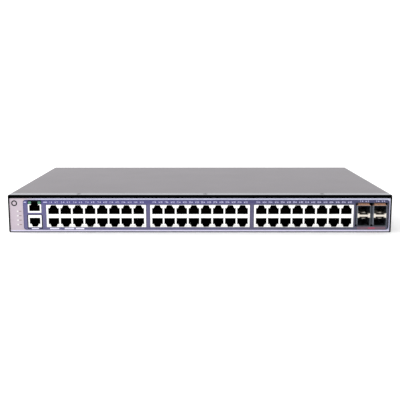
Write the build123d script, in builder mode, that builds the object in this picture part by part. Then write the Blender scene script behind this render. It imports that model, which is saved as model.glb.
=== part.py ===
from build123d import *
from math import hypot, radians, sqrt, tan
import os

# Rackmount network switch, one rack unit high: a folded steel tray and cover, a black front bezel
# round a painted panel, 48 stacked sockets in three shielded blocks, two management sockets, four
# pluggable-module cages, a mains inlet and a backup power socket at the rear, and two fans that blow
# out through the right-hand side. Millimetres. +X is to the right of someone facing the sockets,
# +Y runs towards the rear and +Z is up. The origin is the bottom centre of the whole object.
# "Depth" below is the distance behind the foremost face.

# ---- casing ----
WIDTH = 441.0
HEIGHT = 44.0
BODY_DEPTH = 254.0
SHEET = 1.0  # chassis steel
BEND = 1.6  # outside radius of a fold
FIT = 0.1  # gap between pieces that slide or drop together
SEAM = 0.3  # open line between the cover and the bezel
COVER_LIP = 11.0
COVER_GAP = 0.8  # from the tray's walls up to the inside of the cover

BEZEL_DEPTH = 11.0
BEZEL_TOP = 4.0
BEZEL_SIDE = 1.4
BEZEL_BOTTOM = 1.0
BEZEL_EDGE = 0.3  # rounding of the front outer edge
BEZEL_CORNER = 1.6

PANEL_RECESS = 1.0
PANEL_SHEET = 1.2
PANEL_FLANGE = 20.0
FLANGE_INSET = 2.5
FILM = 0.3  # printed overlay film
FILM_MARGINS = (15.5, 1.2, 1.9, 2.0)  # panel left bare: left, right, bottom, top
FILM_CORNER = 3.0
WINDOW_GAP = 0.3  # around a connector that comes through the panel

# ---- boards ----
BOARD_TOP = 6.0
BOARD = 1.6
MAIN_BOARD_START = 3.4
BOARD_SIDE_GAP = 2.9  # from the main board to the tray's walls
BOARD_SPACING = 6.0  # between the main board and the power supply's

# ---- stacked sockets ----
PITCH = 14.0
COLUMNS = 8
BLOCK_GAP = 4.9
SHELL_MARGIN = 1.3  # sheet beyond the end columns
SHELL_HEIGHT = 26.1
SHELL_SHEET = 0.3
SHELL_FRONT = 0.5
SHELL_DEPTH = 25.0
SHELL_GAP = 0.05
STACK_RISE = 13.05  # from the board up to the middle of a stack
MIDDLE_BAR = 4.7
MOUTH_WIDTH, MOUTH_HEIGHT = 12.1, 6.9
NOTCH_BASE, NOTCH_TIP, NOTCH_HEIGHT = 8.8, 5.4, 3.4
POCKET_DEPTH = 13.5
LENS_X, LENS_RISE = 5.5, 2.05  # from the mouth's centre line, and above its shoulder
LENS_WIDTH, LENS_HEIGHT, LENS_DEPTH, LENS_PROUD = 2.2, 1.7, 3.0, 0.1
CONTACT_PITCH, CONTACT_WIDTH, CONTACTS = 1.02, 0.45, 8
CONTACT_THICK, CONTACT_SETBACK = 0.3, 6.0
COMB_WIDTH, COMB_HEIGHT, COMB_DEPTH = 9.6, 2.2, 1.6

MANAGEMENT_INSET = 28.7  # from the panel's left end to the sockets' centre line
MANAGEMENT_WIDTH = 15.3
MANAGEMENT_HEIGHT = 31.0
MANAGEMENT_RISES = (19.0, 11.0)  # board to each mouth's contact edge, upper and lower
BRIDGE_RISE, BRIDGE = 15.6, 2.2  # strip of panel between the two windows
MANAGEMENT_WAIST = 3.0  # depth of the shell's waist, which straddles that strip

# ---- cages for pluggable modules ----
CAGE_INSET, CAGE_GAP = 4.15, 3.65  # from the panel's right end, and between the cages
CAGE_WIDTH = 15.0
CAGE_SHEET = 0.3
CAGE_FRONT, CAGE_DEPTH = 0.3, 46.0
CAGE_FEET, CAGE_HEIGHT = 1.2, 24.2
DIVIDER_HEIGHT, DIVIDER_BAR, DIVIDER_DEPTH = 5.0, 2.2, 32.0
DIVIDER_FLARE = (0.45, 2.75)  # where the waist starts and ends, from the divider's sides
CONNECTOR_INSET, CONNECTOR_RISE = 1.7, 6.5  # inside the cage's sides, and above its divider
CARD_SLOT_START = 34.0  # depth of the connectors at the back of the cages
CARD_SLOT, CARD_SLOT_WALL, CARD_SLOT_DEPTH, CARD_RISE = 1.4, 0.9, 5.0, 3.9
LATCH_WIDTH, LATCH_START, LATCH_END, LATCH_RISE = 5.4, 1.3, 12.6, 0.9
LATCH_SLOT_WIDTH, LATCH_SLOT_GAP = 9.0, 0.4  # the gap is behind the tongue
CAGE_MARGINS = (2.35, 1.1, 0.6, 3.3)  # panel opening beyond the cages: left, right, below, above
SPRING_SHEET = 0.2
SPRING_DEPTH = 5.5
FINGER_WIDTH, FINGER_PITCH = 1.7, 2.2
SPRING_REACH = (2.1, 0.9)  # how far the fingers stand out on the left and on the right

# ---- status lights ----
STATUS_INSET, STATUS_RADIUS = 9.0, 0.9
STATUS_LIGHTS, STATUS_LOWEST, STATUS_STEP = 4, 9.0, 5.2
STATUS_LENGTH = 16.0

# ---- side air holes and rack bracket holes ----
VENT_FLAT, VENT_PITCH = 3.4, 4.5  # hexagon across flats, and hole to hole
INTAKE_START, INTAKE_COLUMNS, INTAKE_ROWS = 52.0, 34, 5
VENT_MIDDLE = 17.5
BRACKET_DEPTH, BRACKET_Z = 26.0, 17.5
BRACKET_SPACING_Y, BRACKET_SPACING_Z = 24.0, 18.0
BRACKET_HOLE = 1.65  # M4 tapping radius
NUT_RADIUS, NUT_HEIGHT = 3.6, 2.2

# ---- fans ----
FAN_SIZE, FAN_THICK = 40.0, 20.0
FAN_FLOOR_GAP = 0.4
FAN_SPACING, FAN_END_GAP = 0.6, 0.7  # between the fans, and behind the rear one
FAN_WALL = 1.0  # the frame's wall at the middle of each side
FAN_HOLE_INSET = 4.0
HUB_RADIUS, HUB_LENGTH, HUB_WALL = 11.0, 14.5, 1.2
BLADE_GAP, BLADE_THICK, BLADE_LEAN = 0.8, 1.2, 30.0
BLADES = 7
BASE_RADIUS, BASE_THICK = 11.5, 2.0
SHAFT_RADIUS, SHAFT_CLEARANCE = 1.0, 0.03
BEARING_RADIUS, TUBE_RADIUS, TUBE_LENGTH = 2.4, 3.4, 13.0

# ---- rear wall ----
INLET_X, INLET_Z = -165.0, 17.0
INLET_WIDTH, INLET_HEIGHT, INLET_LENGTH = 27.2, 19.8, 20.0
INLET_FLANGE, INLET_FLANGE_THICK = 2.0, 2.0
INLET_MOUTH = (24.4, 16.4, 15.5)  # width, height and depth
INLET_CORNER, INLET_CHAMFER = 1.5, 4.5
PIN_PLACES = ((-7.0, -2.0), (0.0, 2.0), (7.0, -2.0))  # from the inlet's centre
PIN_WIDTH, PIN_HEIGHT, PIN_SETBACK, PIN_TIP, TAB_LENGTH = 2.0, 4.0, 2.5, 0.5, 8.0
BACKUP_X, BACKUP_Z = -20.0, 15.0
BACKUP_CELLS, BACKUP_PITCH, BACKUP_CELL, BACKUP_CELL_CORNER = 7, 4.2, 3.4, 0.5
BACKUP_EDGE, BACKUP_LENGTH, BACKUP_POCKET = 2.0, 13.0, 9.0
BACKUP_PIN, BACKUP_PIN_GAP, BACKUP_PIN_SETBACK, BACKUP_TAIL = 1.0, 0.05, 2.0, 3.0
GROUND_X, GROUND_Z = 40.0, 17.0
GROUND_HEAD_RADIUS, GROUND_HEAD = 4.0, 2.6
WASHER_RADIUS, WASHER_THICK = 4.5, 0.8

# ---- fasteners ----
M3 = 1.5
BEZEL_SCREW_ANGLE, COVER_SCREW_ANGLE = 90, 100  # across the countersinks
SINK_RADIUS = 2.6
SCREW_GAP = 0.02  # between a thread and its hole
BEZEL_SCREW_XS, BEZEL_SCREW_DEPTH = (-140.0, 6.0, 141.0), 6.0
COVER_SCREW_XS = (-170.0, 0.0, 170.0)
COVER_SCREW_INSETS = (42.0, 26.0)  # first from the front, last from the rear
COVER_SCREW_DROP = 6.0
RIVET_XS, RIVET_DEPTH, RIVET_RADIUS = (-190.0, -89.0, 60.0, 178.0), 16.5, 1.6
STANDOFF_MIDDLE, STANDOFF_START = 70.0, 52.0
STANDOFF_SIDE_INSET, STANDOFF_REAR_INSET = 10.5, 10.0  # from the main board's edges
STANDOFF_RADIUS = 2.9
RIVET_HEAD_RADIUS, RIVET_HEAD, RIVET_EDGE = 2.8, 0.9, 0.6
BOARD_SCREW_HEAD_RADIUS, BOARD_SCREW_HEAD = 2.8, 1.8
BEZEL_SCREW_TAIL, COVER_SCREW_LENGTH, FAN_SCREW_LENGTH = 1.0, 5.0, 9.0

# ---- power supply ----
SUPPLY_X, SUPPLY_WIDTH = -134.0, 146.0
SUPPLY_LENGTH, SUPPLY_TO_REAR = 52.0, 26.9
SUPPLY_HOLE_INSET = 4.5

# ---- parts on the main board ----
CHIP_ROW, SWITCH_CHIP_HEIGHT = 114.0, 2.4  # depth of the large chips' centres
SINK_SIZE, SINK_BASE, SINK_HEIGHT, SINK_FIN, SINK_STEP = 60.0, 4.0, 20.0, 1.5, 4.5

# ---- leads inside the case ----
LEAD_RADIUS, FAN_LEAD_RADIUS, LEAD_BEND = 1.0, 0.8, 3.0
LEAD_REACH = 6.0  # straight run behind a tab, and from a board's edge to where a lead lands
LEAD_ARCH, LEAD_STEP = 9.0, 3.0  # rise over the gap between the boards, and lead to lead
FAN_LEAD_Z, FAN_LEAD_HIGH = 8.0, 12.0

# ---- worked out from the sizes above ----
tray_width = WIDTH - 2 * (SHEET + FIT)
tray_rear = BODY_DEPTH - SHEET - FIT
tray_top = HEIGHT - SHEET - COVER_GAP
overall_depth = tray_rear + WASHER_THICK + GROUND_HEAD
front = -overall_depth / 2
panel_width = WIDTH - 2 * (BEZEL_SIDE + FIT)
panel_top = HEIGHT - BEZEL_TOP - FIT
board_bottom = BOARD_TOP - BOARD
board_half = tray_width / 2 - SHEET - BOARD_SIDE_GAP
panel_back = PANEL_RECESS + PANEL_SHEET
panel_half = panel_width / 2
backup_width = BACKUP_CELLS * BACKUP_PITCH + BACKUP_EDGE
backup_height = 2 * BACKUP_PITCH + BACKUP_EDGE
film_left, film_right = FILM_MARGINS[0] - panel_half, panel_half - FILM_MARGINS[1]
film_bottom, film_top = BEZEL_BOTTOM + FILM_MARGINS[2], panel_top - FILM_MARGINS[3]
fan_outer = tray_width / 2 - SHEET - FIT  # x of the fans' outer faces
fan_z = SHEET + FAN_FLOOR_GAP + FAN_SIZE / 2
fan_bore = FAN_SIZE / 2 - FAN_WALL
fan_hole_spacing = FAN_SIZE - 2 * FAN_HOLE_INSET
blade_tip = fan_bore - BLADE_GAP
rear_fan = tray_rear - SHEET - FAN_END_GAP - FAN_SIZE / 2
fan_depths = (rear_fan - FAN_SIZE - FAN_SPACING, rear_fan)
shell_top = BOARD_TOP + SHELL_HEIGHT
shell_width = COLUMNS * PITCH + 2 * SHELL_MARGIN
block_pitch = shell_width + BLOCK_GAP
block_xs = (-block_pitch, 0.0, block_pitch)
stack_middle = BOARD_TOP + STACK_RISE
management_top = BOARD_TOP + MANAGEMENT_HEIGHT
management_upper, management_lower = (BOARD_TOP + rise for rise in MANAGEMENT_RISES)
bridge_low = BOARD_TOP + BRIDGE_RISE - BRIDGE / 2
bridge_high = bridge_low + BRIDGE
management_x = MANAGEMENT_INSET - panel_half
status_x = STATUS_INSET - panel_half
status_zs = [STATUS_LOWEST + i * STATUS_STEP for i in range(STATUS_LIGHTS)]
right_cage = panel_half - CAGE_INSET - CAGE_WIDTH / 2
cage_xs = (right_cage - CAGE_WIDTH - CAGE_GAP, right_cage)
cage_bottom = BOARD_TOP + CAGE_FEET
cage_top = cage_bottom + CAGE_HEIGHT
divider_middle = (cage_bottom + cage_top) / 2 + CAGE_SHEET
window_left = cage_xs[0] - CAGE_WIDTH / 2 - CAGE_MARGINS[0]
window_right = cage_xs[1] + CAGE_WIDTH / 2 + CAGE_MARGINS[1]
window_bottom = cage_bottom - CAGE_MARGINS[2]
window_top = cage_top + CAGE_MARGINS[3]
supply_end = tray_rear - SUPPLY_TO_REAR
supply_start = supply_end - SUPPLY_LENGTH
supply_middle = (supply_start + supply_end) / 2
main_board_end = supply_start - BOARD_SPACING
first_screw, last_screw = COVER_SCREW_INSETS[0], BODY_DEPTH - COVER_SCREW_INSETS[1]
cover_screw_depths = (first_screw, (first_screw + last_screw) / 2, last_screw)
standoff_side = board_half - STANDOFF_SIDE_INSET
standoff_xs = (-standoff_side, -STANDOFF_MIDDLE, STANDOFF_MIDDLE, standoff_side)
standoff_depths = (STANDOFF_START, main_board_end - STANDOFF_REAR_INSET)

parts = {}


def y_at(depth):
    """The Y of a point that lies this far behind the foremost face."""
    return front + depth


def facing(depth):
    """A plane parallel to the front face. Its normal points forwards, so a piece that runs
    rearwards is extruded by a negative amount. Its local axes are X and Z."""
    return Plane(origin=(0, y_at(depth), 0), x_dir=(1, 0, 0), z_dir=(0, -1, 0))


def sideways(x):
    """A plane square to X at this x. Its local axes are Y and Z, its normal +X."""
    return Plane(origin=(x, 0, 0), x_dir=(0, 1, 0), z_dir=(1, 0, 0))


def block(x_span, depth_span, z_span, mode=Mode.ADD):
    """A box between two values on each axis, with Y given as depth."""
    size = [b - a for a, b in (x_span, depth_span, z_span)]
    middle = ((x_span[0] + x_span[1]) / 2, y_at(sum(depth_span) / 2), sum(z_span) / 2)
    with Locations(middle):
        Box(*size, mode=mode)


def keep(name, *solids):
    """Writes one node, made of one solid or of several that are kept apart."""
    pieces = [s for group in solids for s in group.solids()]
    node = pieces[0] if len(pieces) == 1 else Compound(children=pieces)
    node.label = name
    parts[name] = node
    export_step(node, f"parts/{name}.step")


def copies(part, places):
    """The part at each of these offsets, as separate solids."""
    return [part.moved(Location(place)) for place in places]


os.makedirs("parts", exist_ok=True)

# ================= sockets: shapes shared by the shells, inserts, panel and film =================


def mouth(x, base, up, grow=0.0):
    """Draws one socket's mouth, a rectangle with a tapering notch for the plug's latch. base is the
    z of the edge beside the contacts, and up is 1 where the notch is on top, -1 where it is below."""
    half, notch, tip = (size / 2 + grow for size in (MOUTH_WIDTH, NOTCH_BASE, NOTCH_TIP))
    shoulder = MOUTH_HEIGHT + grow
    right = [(half, -grow), (half, shoulder), (notch, shoulder), (tip, shoulder + NOTCH_HEIGHT)]
    outline = right + [(-across, rise) for across, rise in reversed(right)]
    Polygon(*[(x + across, base + up * rise) for across, rise in outline], align=None)


def lens_places(x, base, up):
    """The centres of the two light lenses beside a mouth's notch, as (x, z)."""
    z = base + up * (MOUTH_HEIGHT + LENS_RISE)
    return [(x - LENS_X, z), (x + LENS_X, z)]


def make_shell(x, width, top, sockets, lenses, waist=None):
    """A folded metal can, open below, whose front has a window for each mouth and lens. waist is
    the (z, z) span of a strip of panel that its front straddles."""
    with BuildPart() as can:
        span = (x - width / 2, x + width / 2)
        block(span, (SHELL_FRONT, SHELL_FRONT + SHELL_DEPTH), (BOARD_TOP, top))
        if waist:
            block(span, (SHELL_FRONT, MANAGEMENT_WAIST), waist, mode=Mode.SUBTRACT)
        offset(amount=-SHELL_SHEET, openings=can.faces().sort_by(Axis.Z)[0])
        with BuildSketch(facing(SHELL_FRONT)):
            for socket in sockets:
                mouth(*socket, grow=SHELL_GAP)
            with Locations(*lenses):
                Rectangle(LENS_WIDTH + 2 * SHELL_GAP, LENS_HEIGHT + 2 * SHELL_GAP)
        extrude(amount=-SHELL_SHEET, mode=Mode.SUBTRACT)
    return can.part


def make_insert(x, width, top, sockets, lenses, waist=None):
    """The moulded plastic inside a shell, with a pocket behind each mouth and each lens."""
    lining = SHELL_SHEET + SHELL_GAP
    start = SHELL_FRONT + lining
    end = SHELL_FRONT + SHELL_DEPTH - lining
    with BuildPart() as insert:
        span = (x - width / 2, x + width / 2)
        block(span, (start, end), (BOARD_TOP, top))
        if waist:
            low, high = waist
            strip = (low - lining, high + lining)
            block(span, (start, MANAGEMENT_WAIST + lining), strip, mode=Mode.SUBTRACT)
        with BuildSketch(facing(start)):
            for socket in sockets:
                mouth(*socket)
        extrude(amount=-POCKET_DEPTH, mode=Mode.SUBTRACT)
        with BuildSketch(facing(start)):
            with Locations(*lenses):
                Rectangle(LENS_WIDTH + 2 * SHELL_GAP, LENS_HEIGHT + 2 * SHELL_GAP)
        extrude(amount=-LENS_DEPTH, mode=Mode.SUBTRACT)
    return insert.part


def make_comb():
    """One socket's eight sprung contacts in their carrier, for a mouth at x 0 with its base at z 0."""
    pocket_back = SHELL_FRONT + SHELL_SHEET + SHELL_GAP + POCKET_DEPTH
    comb_front = pocket_back - COMB_DEPTH
    tip_depth = SHELL_FRONT + CONTACT_SETBACK
    thick = CONTACT_THICK
    offsets = [(i - (CONTACTS - 1) / 2) * CONTACT_PITCH for i in range(CONTACTS)]
    with BuildPart() as comb:
        block(
            (-COMB_WIDTH / 2, COMB_WIDTH / 2),
            (comb_front, pocket_back - SHELL_GAP),
            (SHELL_GAP, COMB_HEIGHT),
        )
        with BuildSketch(*[sideways(x - CONTACT_WIDTH / 2) for x in offsets]):
            Polygon(
                (y_at(comb_front) + thick, COMB_HEIGHT - thick),
                (y_at(comb_front) + thick, COMB_HEIGHT - 2 * thick),
                (y_at(tip_depth), thick),
                (y_at(tip_depth), 2 * thick),
                align=None,
            )
        extrude(amount=CONTACT_WIDTH)
    return comb.part


def make_lens():
    """The clear front of one indicator, centred on x 0 and z 0."""
    with BuildPart() as lens:
        block(
            (-LENS_WIDTH / 2, LENS_WIDTH / 2),
            (SHELL_FRONT - LENS_PROUD, SHELL_FRONT + LENS_DEPTH),
            (-LENS_HEIGHT / 2, LENS_HEIGHT / 2),
        )
        fillet(lens.faces().sort_by(Axis.Y)[0].edges(), LENS_PROUD * 0.9)
    return lens.part


upper_base = stack_middle + MIDDLE_BAR / 2
lower_base = stack_middle - MIDDLE_BAR / 2
column_offsets = [(i - (COLUMNS - 1) / 2) * PITCH for i in range(COLUMNS)]

comb_up = make_comb()
comb_down = comb_up.mirror(Plane.XY)
lens_solid = make_lens()
block_combs = []
block_lenses = []
column = [(0, upper_base, 1), (0, lower_base, -1)]
column_lenses = [place for socket in column for place in lens_places(*socket)]
column_insert = make_insert(
    0, PITCH - SHELL_GAP, shell_top - SHELL_SHEET - SHELL_GAP, column, column_lenses
)

for name, block_x in zip(("left", "middle", "right"), block_xs):
    xs = [block_x + step for step in column_offsets]
    sockets = [(x, base, up) for x in xs for _, base, up in column]
    spots = [place for socket in sockets for place in lens_places(*socket)]
    keep(f"port_shell_{name}", make_shell(block_x, shell_width, shell_top, sockets, spots))
    keep(f"port_inserts_{name}", *copies(column_insert, [(x, 0, 0) for x in xs]))
    block_combs += copies(comb_up, [(x, 0, upper_base) for x in xs])
    block_combs += copies(comb_down, [(x, 0, lower_base) for x in xs])
    block_lenses += copies(lens_solid, [(x, 0, z) for x, z in spots])
# The management sockets share one taller shell, and only the upper one has lights.
management = [(management_x, management_upper, 1), (management_x, management_lower, -1)]
management_spots = lens_places(*management[0])
management_waist = (bridge_low - WINDOW_GAP, bridge_high + WINDOW_GAP)
keep(
    "management_shell",
    make_shell(
        management_x,
        MANAGEMENT_WIDTH,
        management_top,
        management,
        management_spots,
        management_waist,
    ),
)
keep(
    "management_insert",
    make_insert(
        management_x,
        MANAGEMENT_WIDTH - 2 * (SHELL_SHEET + SHELL_GAP),
        management_top - SHELL_SHEET - SHELL_GAP,
        management,
        management_spots,
        management_waist,
    ),
)
block_combs += copies(comb_up, [(management_x, 0, management_upper)])
block_combs += copies(comb_down, [(management_x, 0, management_lower)])
block_lenses += copies(lens_solid, [(x, 0, z) for x, z in management_spots])
keep("socket_contacts", *block_combs)
keep("led_lenses", *block_lenses)

# ================= front: bezel, panel and film =================


def windows(gap):
    """Cuts the openings that the connectors come through out of the sketch being drawn."""
    with Locations(*[(x, (BOARD_TOP + shell_top) / 2) for x in block_xs]):
        Rectangle(shell_width + 2 * gap, shell_top - BOARD_TOP + 2 * gap, mode=Mode.SUBTRACT)
    spans = ((BOARD_TOP - gap, bridge_low), (bridge_high, management_top + gap))
    for low, high in spans:
        with Locations((management_x, (low + high) / 2)):
            Rectangle(MANAGEMENT_WIDTH + 2 * gap, high - low, mode=Mode.SUBTRACT)
    with Locations(((window_left + window_right) / 2, (window_bottom + window_top) / 2)):
        Rectangle(window_right - window_left, window_top - window_bottom, mode=Mode.SUBTRACT)


with BuildPart() as bezel_frame:
    with BuildSketch(facing(0)):
        with Locations((0, HEIGHT / 2)):
            RectangleRounded(WIDTH, HEIGHT, BEZEL_CORNER)
        with Locations((0, (BEZEL_BOTTOM + HEIGHT - BEZEL_TOP) / 2)):
            Rectangle(
                WIDTH - 2 * BEZEL_SIDE, HEIGHT - BEZEL_TOP - BEZEL_BOTTOM, mode=Mode.SUBTRACT
            )
    extrude(amount=-BEZEL_DEPTH)
    fillet(bezel_frame.faces().sort_by(Axis.Y)[0].outer_wire().edges(), BEZEL_EDGE)
    with Locations(*[(x, y_at(BEZEL_SCREW_DEPTH), HEIGHT) for x in BEZEL_SCREW_XS]):
        CounterSinkHole(M3 + FIT, SINK_RADIUS + FIT, BEZEL_TOP, counter_sink_angle=BEZEL_SCREW_ANGLE)
keep("bezel_frame", bezel_frame.part)

with BuildPart() as front_panel:
    with BuildSketch(facing(PANEL_RECESS)):
        with Locations((0, (BEZEL_BOTTOM + panel_top) / 2)):
            Rectangle(panel_width, panel_top - BEZEL_BOTTOM)
        windows(WINDOW_GAP)
        with Locations(*[(status_x, z) for z in status_zs]):
            Circle(STATUS_RADIUS + SHELL_GAP, mode=Mode.SUBTRACT)
    extrude(amount=-PANEL_SHEET)
    flange_half = panel_width / 2 - FLANGE_INSET
    for low in (BEZEL_BOTTOM, panel_top - PANEL_SHEET):
        block(
            (-flange_half, flange_half),
            (panel_back, panel_back + PANEL_FLANGE),
            (low, low + PANEL_SHEET),
        )
    with Locations(*[(x, y_at(BEZEL_SCREW_DEPTH), panel_top) for x in BEZEL_SCREW_XS]):
        Hole(M3, depth=PANEL_SHEET)
    with Locations(*[(x, y_at(RIVET_DEPTH), BEZEL_BOTTOM + PANEL_SHEET) for x in RIVET_XS]):
        Hole(RIVET_RADIUS, depth=PANEL_SHEET)
keep("front_panel", front_panel.part)

with BuildPart() as port_overlay:
    with BuildSketch(facing(PANEL_RECESS - FILM)):
        with Locations(((film_left + film_right) / 2, (film_bottom + film_top) / 2)):
            RectangleRounded(film_right - film_left, film_top - film_bottom, FILM_CORNER)
        windows(WINDOW_GAP)
    extrude(amount=-FILM)
keep("port_overlay", port_overlay.part)

with BuildPart() as status_light_pipes:
    with BuildSketch(facing(PANEL_RECESS - FILM)):
        with Locations(*[(status_x, z) for z in status_zs]):
            Circle(STATUS_RADIUS)
    extrude(amount=-STATUS_LENGTH)
keep("status_light_pipes", status_light_pipes.part)

# ================= casing: tray and cover =================


def staggered(columns, rows, within=None):
    """Hole centres in rows that are set half a pitch apart, about 0, 0. within is the radius of a
    round field, past which there are no holes."""
    row_step = VENT_PITCH * sqrt(3) / 2
    places = [
        ((i - (columns - 1) / 2 + (j % 2) / 2) * VENT_PITCH, (j - (rows - 1) / 2) * row_step)
        for j in range(rows)
        for i in range(columns)
    ]
    return [p for p in places if within is None or hypot(*p) < within]


def rear_cutouts():
    """Cuts the connectors' and the ground screw's openings out of the sketch being drawn."""
    with Locations((INLET_X, INLET_Z)):
        Rectangle(INLET_WIDTH + 2 * FIT, INLET_HEIGHT + 2 * FIT)
    with Locations((BACKUP_X, BACKUP_Z)):
        Rectangle(backup_width + 2 * FIT, backup_height + 2 * FIT)
    with Locations((GROUND_X, GROUND_Z)):
        Circle(BRACKET_HOLE)


cover_screw_z = HEIGHT - COVER_SCREW_DROP
intake_middle = INTAKE_START + (INTAKE_COLUMNS - 1) / 2 * VENT_PITCH
hex_radius = VENT_FLAT / 2
fan_screw_planes = [
    Plane(
        origin=(tray_width / 2, y_at(depth) + a, fan_z + b), z_dir=(1, 0, 0)
    )
    for depth in fan_depths
    for a in (-fan_hole_spacing / 2, fan_hole_spacing / 2)
    for b in (-fan_hole_spacing / 2, fan_hole_spacing / 2)
]

with BuildPart() as chassis_tray:
    block(
        (-tray_width / 2, tray_width / 2), (BEZEL_DEPTH, tray_rear), (0, tray_top)
    )
    folds = chassis_tray.edges().group_by(Axis.Z)[0].filter_by(Axis.Y)
    folds += chassis_tray.edges().group_by(Axis.Y)[-1].filter_by(Axis.Z)
    folds += chassis_tray.edges().group_by(Axis.Z)[0].group_by(Axis.Y)[-1]
    fillet(folds, BEND)
    lid_side = chassis_tray.faces().sort_by(Axis.Z)[-1]
    front_side = chassis_tray.faces().sort_by(Axis.Y)[0]
    offset(amount=-SHEET, openings=[lid_side, front_side])
    # Fan exhaust on the right, air intake on the left.
    with BuildSketch(sideways(tray_width / 2)):
        highest = HEIGHT - COVER_LIP - VENT_FLAT - fan_z
        field = [p for p in staggered(9, 11, within=fan_bore - 1.5) if p[1] < highest]
        for depth in fan_depths:
            with Locations(*[(y_at(depth) + a, fan_z + b) for a, b in field]):
                RegularPolygon(hex_radius, 6, major_radius=False, rotation=30)
    extrude(amount=-SHEET, mode=Mode.SUBTRACT)
    with Locations(*fan_screw_planes):
        CounterSinkHole(M3 + FIT, SINK_RADIUS, 2 * SHEET, counter_sink_angle=COVER_SCREW_ANGLE)
    with BuildSketch(sideways(-tray_width / 2 + SHEET)):
        field = staggered(INTAKE_COLUMNS, INTAKE_ROWS)
        with Locations(*[(y_at(intake_middle) + a, VENT_MIDDLE + b) for a, b in field]):
            RegularPolygon(hex_radius, 6, major_radius=False, rotation=30)
    extrude(amount=-SHEET, mode=Mode.SUBTRACT)
    # Rack bracket holes and cover screw holes, through both side walls.
    with BuildSketch(sideways(-WIDTH / 2)):
        with Locations((y_at(BRACKET_DEPTH), BRACKET_Z)):
            with GridLocations(BRACKET_SPACING_Y, BRACKET_SPACING_Z, 2, 2):
                Circle(BRACKET_HOLE)
        with Locations(*[(y_at(depth), cover_screw_z) for depth in cover_screw_depths]):
            Circle(M3)
    extrude(amount=WIDTH, mode=Mode.SUBTRACT)
    with BuildSketch(facing(tray_rear)):
        rear_cutouts()
        with Locations(*[(x, cover_screw_z) for x in COVER_SCREW_XS]):
            Circle(M3)
    extrude(amount=SHEET, mode=Mode.SUBTRACT)
    with Locations(*[(x, y_at(RIVET_DEPTH), SHEET) for x in RIVET_XS]):
        Hole(RIVET_RADIUS, depth=SHEET)
keep("chassis_tray", chassis_tray.part)

with BuildPart() as top_cover:
    block(
        (-WIDTH / 2, WIDTH / 2), (BEZEL_DEPTH + SEAM, BODY_DEPTH), (HEIGHT - COVER_LIP, HEIGHT)
    )
    folds = top_cover.edges().group_by(Axis.Z)[-1].filter_by(Axis.Y)
    folds += top_cover.edges().group_by(Axis.Y)[-1].filter_by(Axis.Z)
    folds += top_cover.edges().group_by(Axis.Z)[-1].group_by(Axis.Y)[-1]
    fillet(folds, BEND)
    open_side = top_cover.faces().sort_by(Axis.Z)[0]
    bezel_side = top_cover.faces().sort_by(Axis.Y)[0]
    offset(amount=-SHEET, openings=[open_side, bezel_side])
    for side in (-1, 1):
        outer = Plane(origin=(side * WIDTH / 2, 0, 0), x_dir=(0, side, 0), z_dir=(side, 0, 0))
        spots = [(side * y_at(depth), cover_screw_z) for depth in cover_screw_depths]
        with Locations(outer):
            with Locations(*spots):
                CounterSinkHole(M3 + FIT, SINK_RADIUS, 2 * SHEET, counter_sink_angle=COVER_SCREW_ANGLE)
    rear_face = Plane(origin=(0, y_at(BODY_DEPTH), 0), x_dir=(-1, 0, 0), z_dir=(0, 1, 0))
    with Locations(rear_face):
        with Locations(*[(-x, cover_screw_z) for x in COVER_SCREW_XS]):
            CounterSinkHole(M3 + FIT, SINK_RADIUS, 2 * SHEET, counter_sink_angle=COVER_SCREW_ANGLE)
keep("top_cover", top_cover.part)

# ================= fasteners =================


def cross_recess(size, depth):
    """Cuts a cross for a screwdriver into the top of a screw whose head is level with z 0."""
    with Locations((0, 0, -depth / 2)):
        Box(size, size / 4, depth, mode=Mode.SUBTRACT)
        Box(size / 4, size, depth, mode=Mode.SUBTRACT)


def countersunk(length, angle, head=SINK_RADIUS):
    """A flat-headed screw, its head level with z 0 and its thread pointing down."""
    shank = M3 - SCREW_GAP
    sink = (head - shank) / tan(radians(angle / 2))
    with BuildPart() as screw:
        with BuildSketch(Plane.XZ):
            Polygon(
                (0, 0), (head - SCREW_GAP, 0), (shank, -sink), (shank, -length), (0, -length),
                align=None,
            )
        revolve(axis=Axis.Z)
        cross_recess(head, 0.8)
    return screw.part


def pan_head(length, head_radius, head_height):
    """A screw with a domed head that stands on z 0 and a thread that points down."""
    with BuildPart() as screw:
        Cylinder(
            M3 - SCREW_GAP, length, align=(Align.CENTER, Align.CENTER, Align.MAX)
        )
        Cylinder(head_radius, head_height, align=(Align.CENTER, Align.CENTER, Align.MIN))
        fillet(screw.edges().sort_by(Axis.Z)[-1], head_height / 3)
        with Locations((0, 0, head_height)):
            cross_recess(head_radius, head_height / 2)
    return screw.part


bezel_screw = countersunk(BEZEL_TOP + FIT + PANEL_SHEET + BEZEL_SCREW_TAIL, BEZEL_SCREW_ANGLE)
keep(
    "bezel_screws",
    *copies(bezel_screw, [(x, y_at(BEZEL_SCREW_DEPTH), HEIGHT) for x in BEZEL_SCREW_XS]),
)

cover_screw = countersunk(COVER_SCREW_LENGTH, COVER_SCREW_ANGLE)
placed = []
for depth in cover_screw_depths:
    for side in (-1, 1):
        spot = Plane(
            origin=(side * WIDTH / 2, y_at(depth), cover_screw_z), z_dir=(side, 0, 0)
        )
        placed.append(cover_screw.moved(spot.location))
for x in COVER_SCREW_XS:
    spot = Plane(origin=(x, y_at(BODY_DEPTH), cover_screw_z), z_dir=(0, 1, 0))
    placed.append(cover_screw.moved(spot.location))
keep("cover_screws", *placed)

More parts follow.
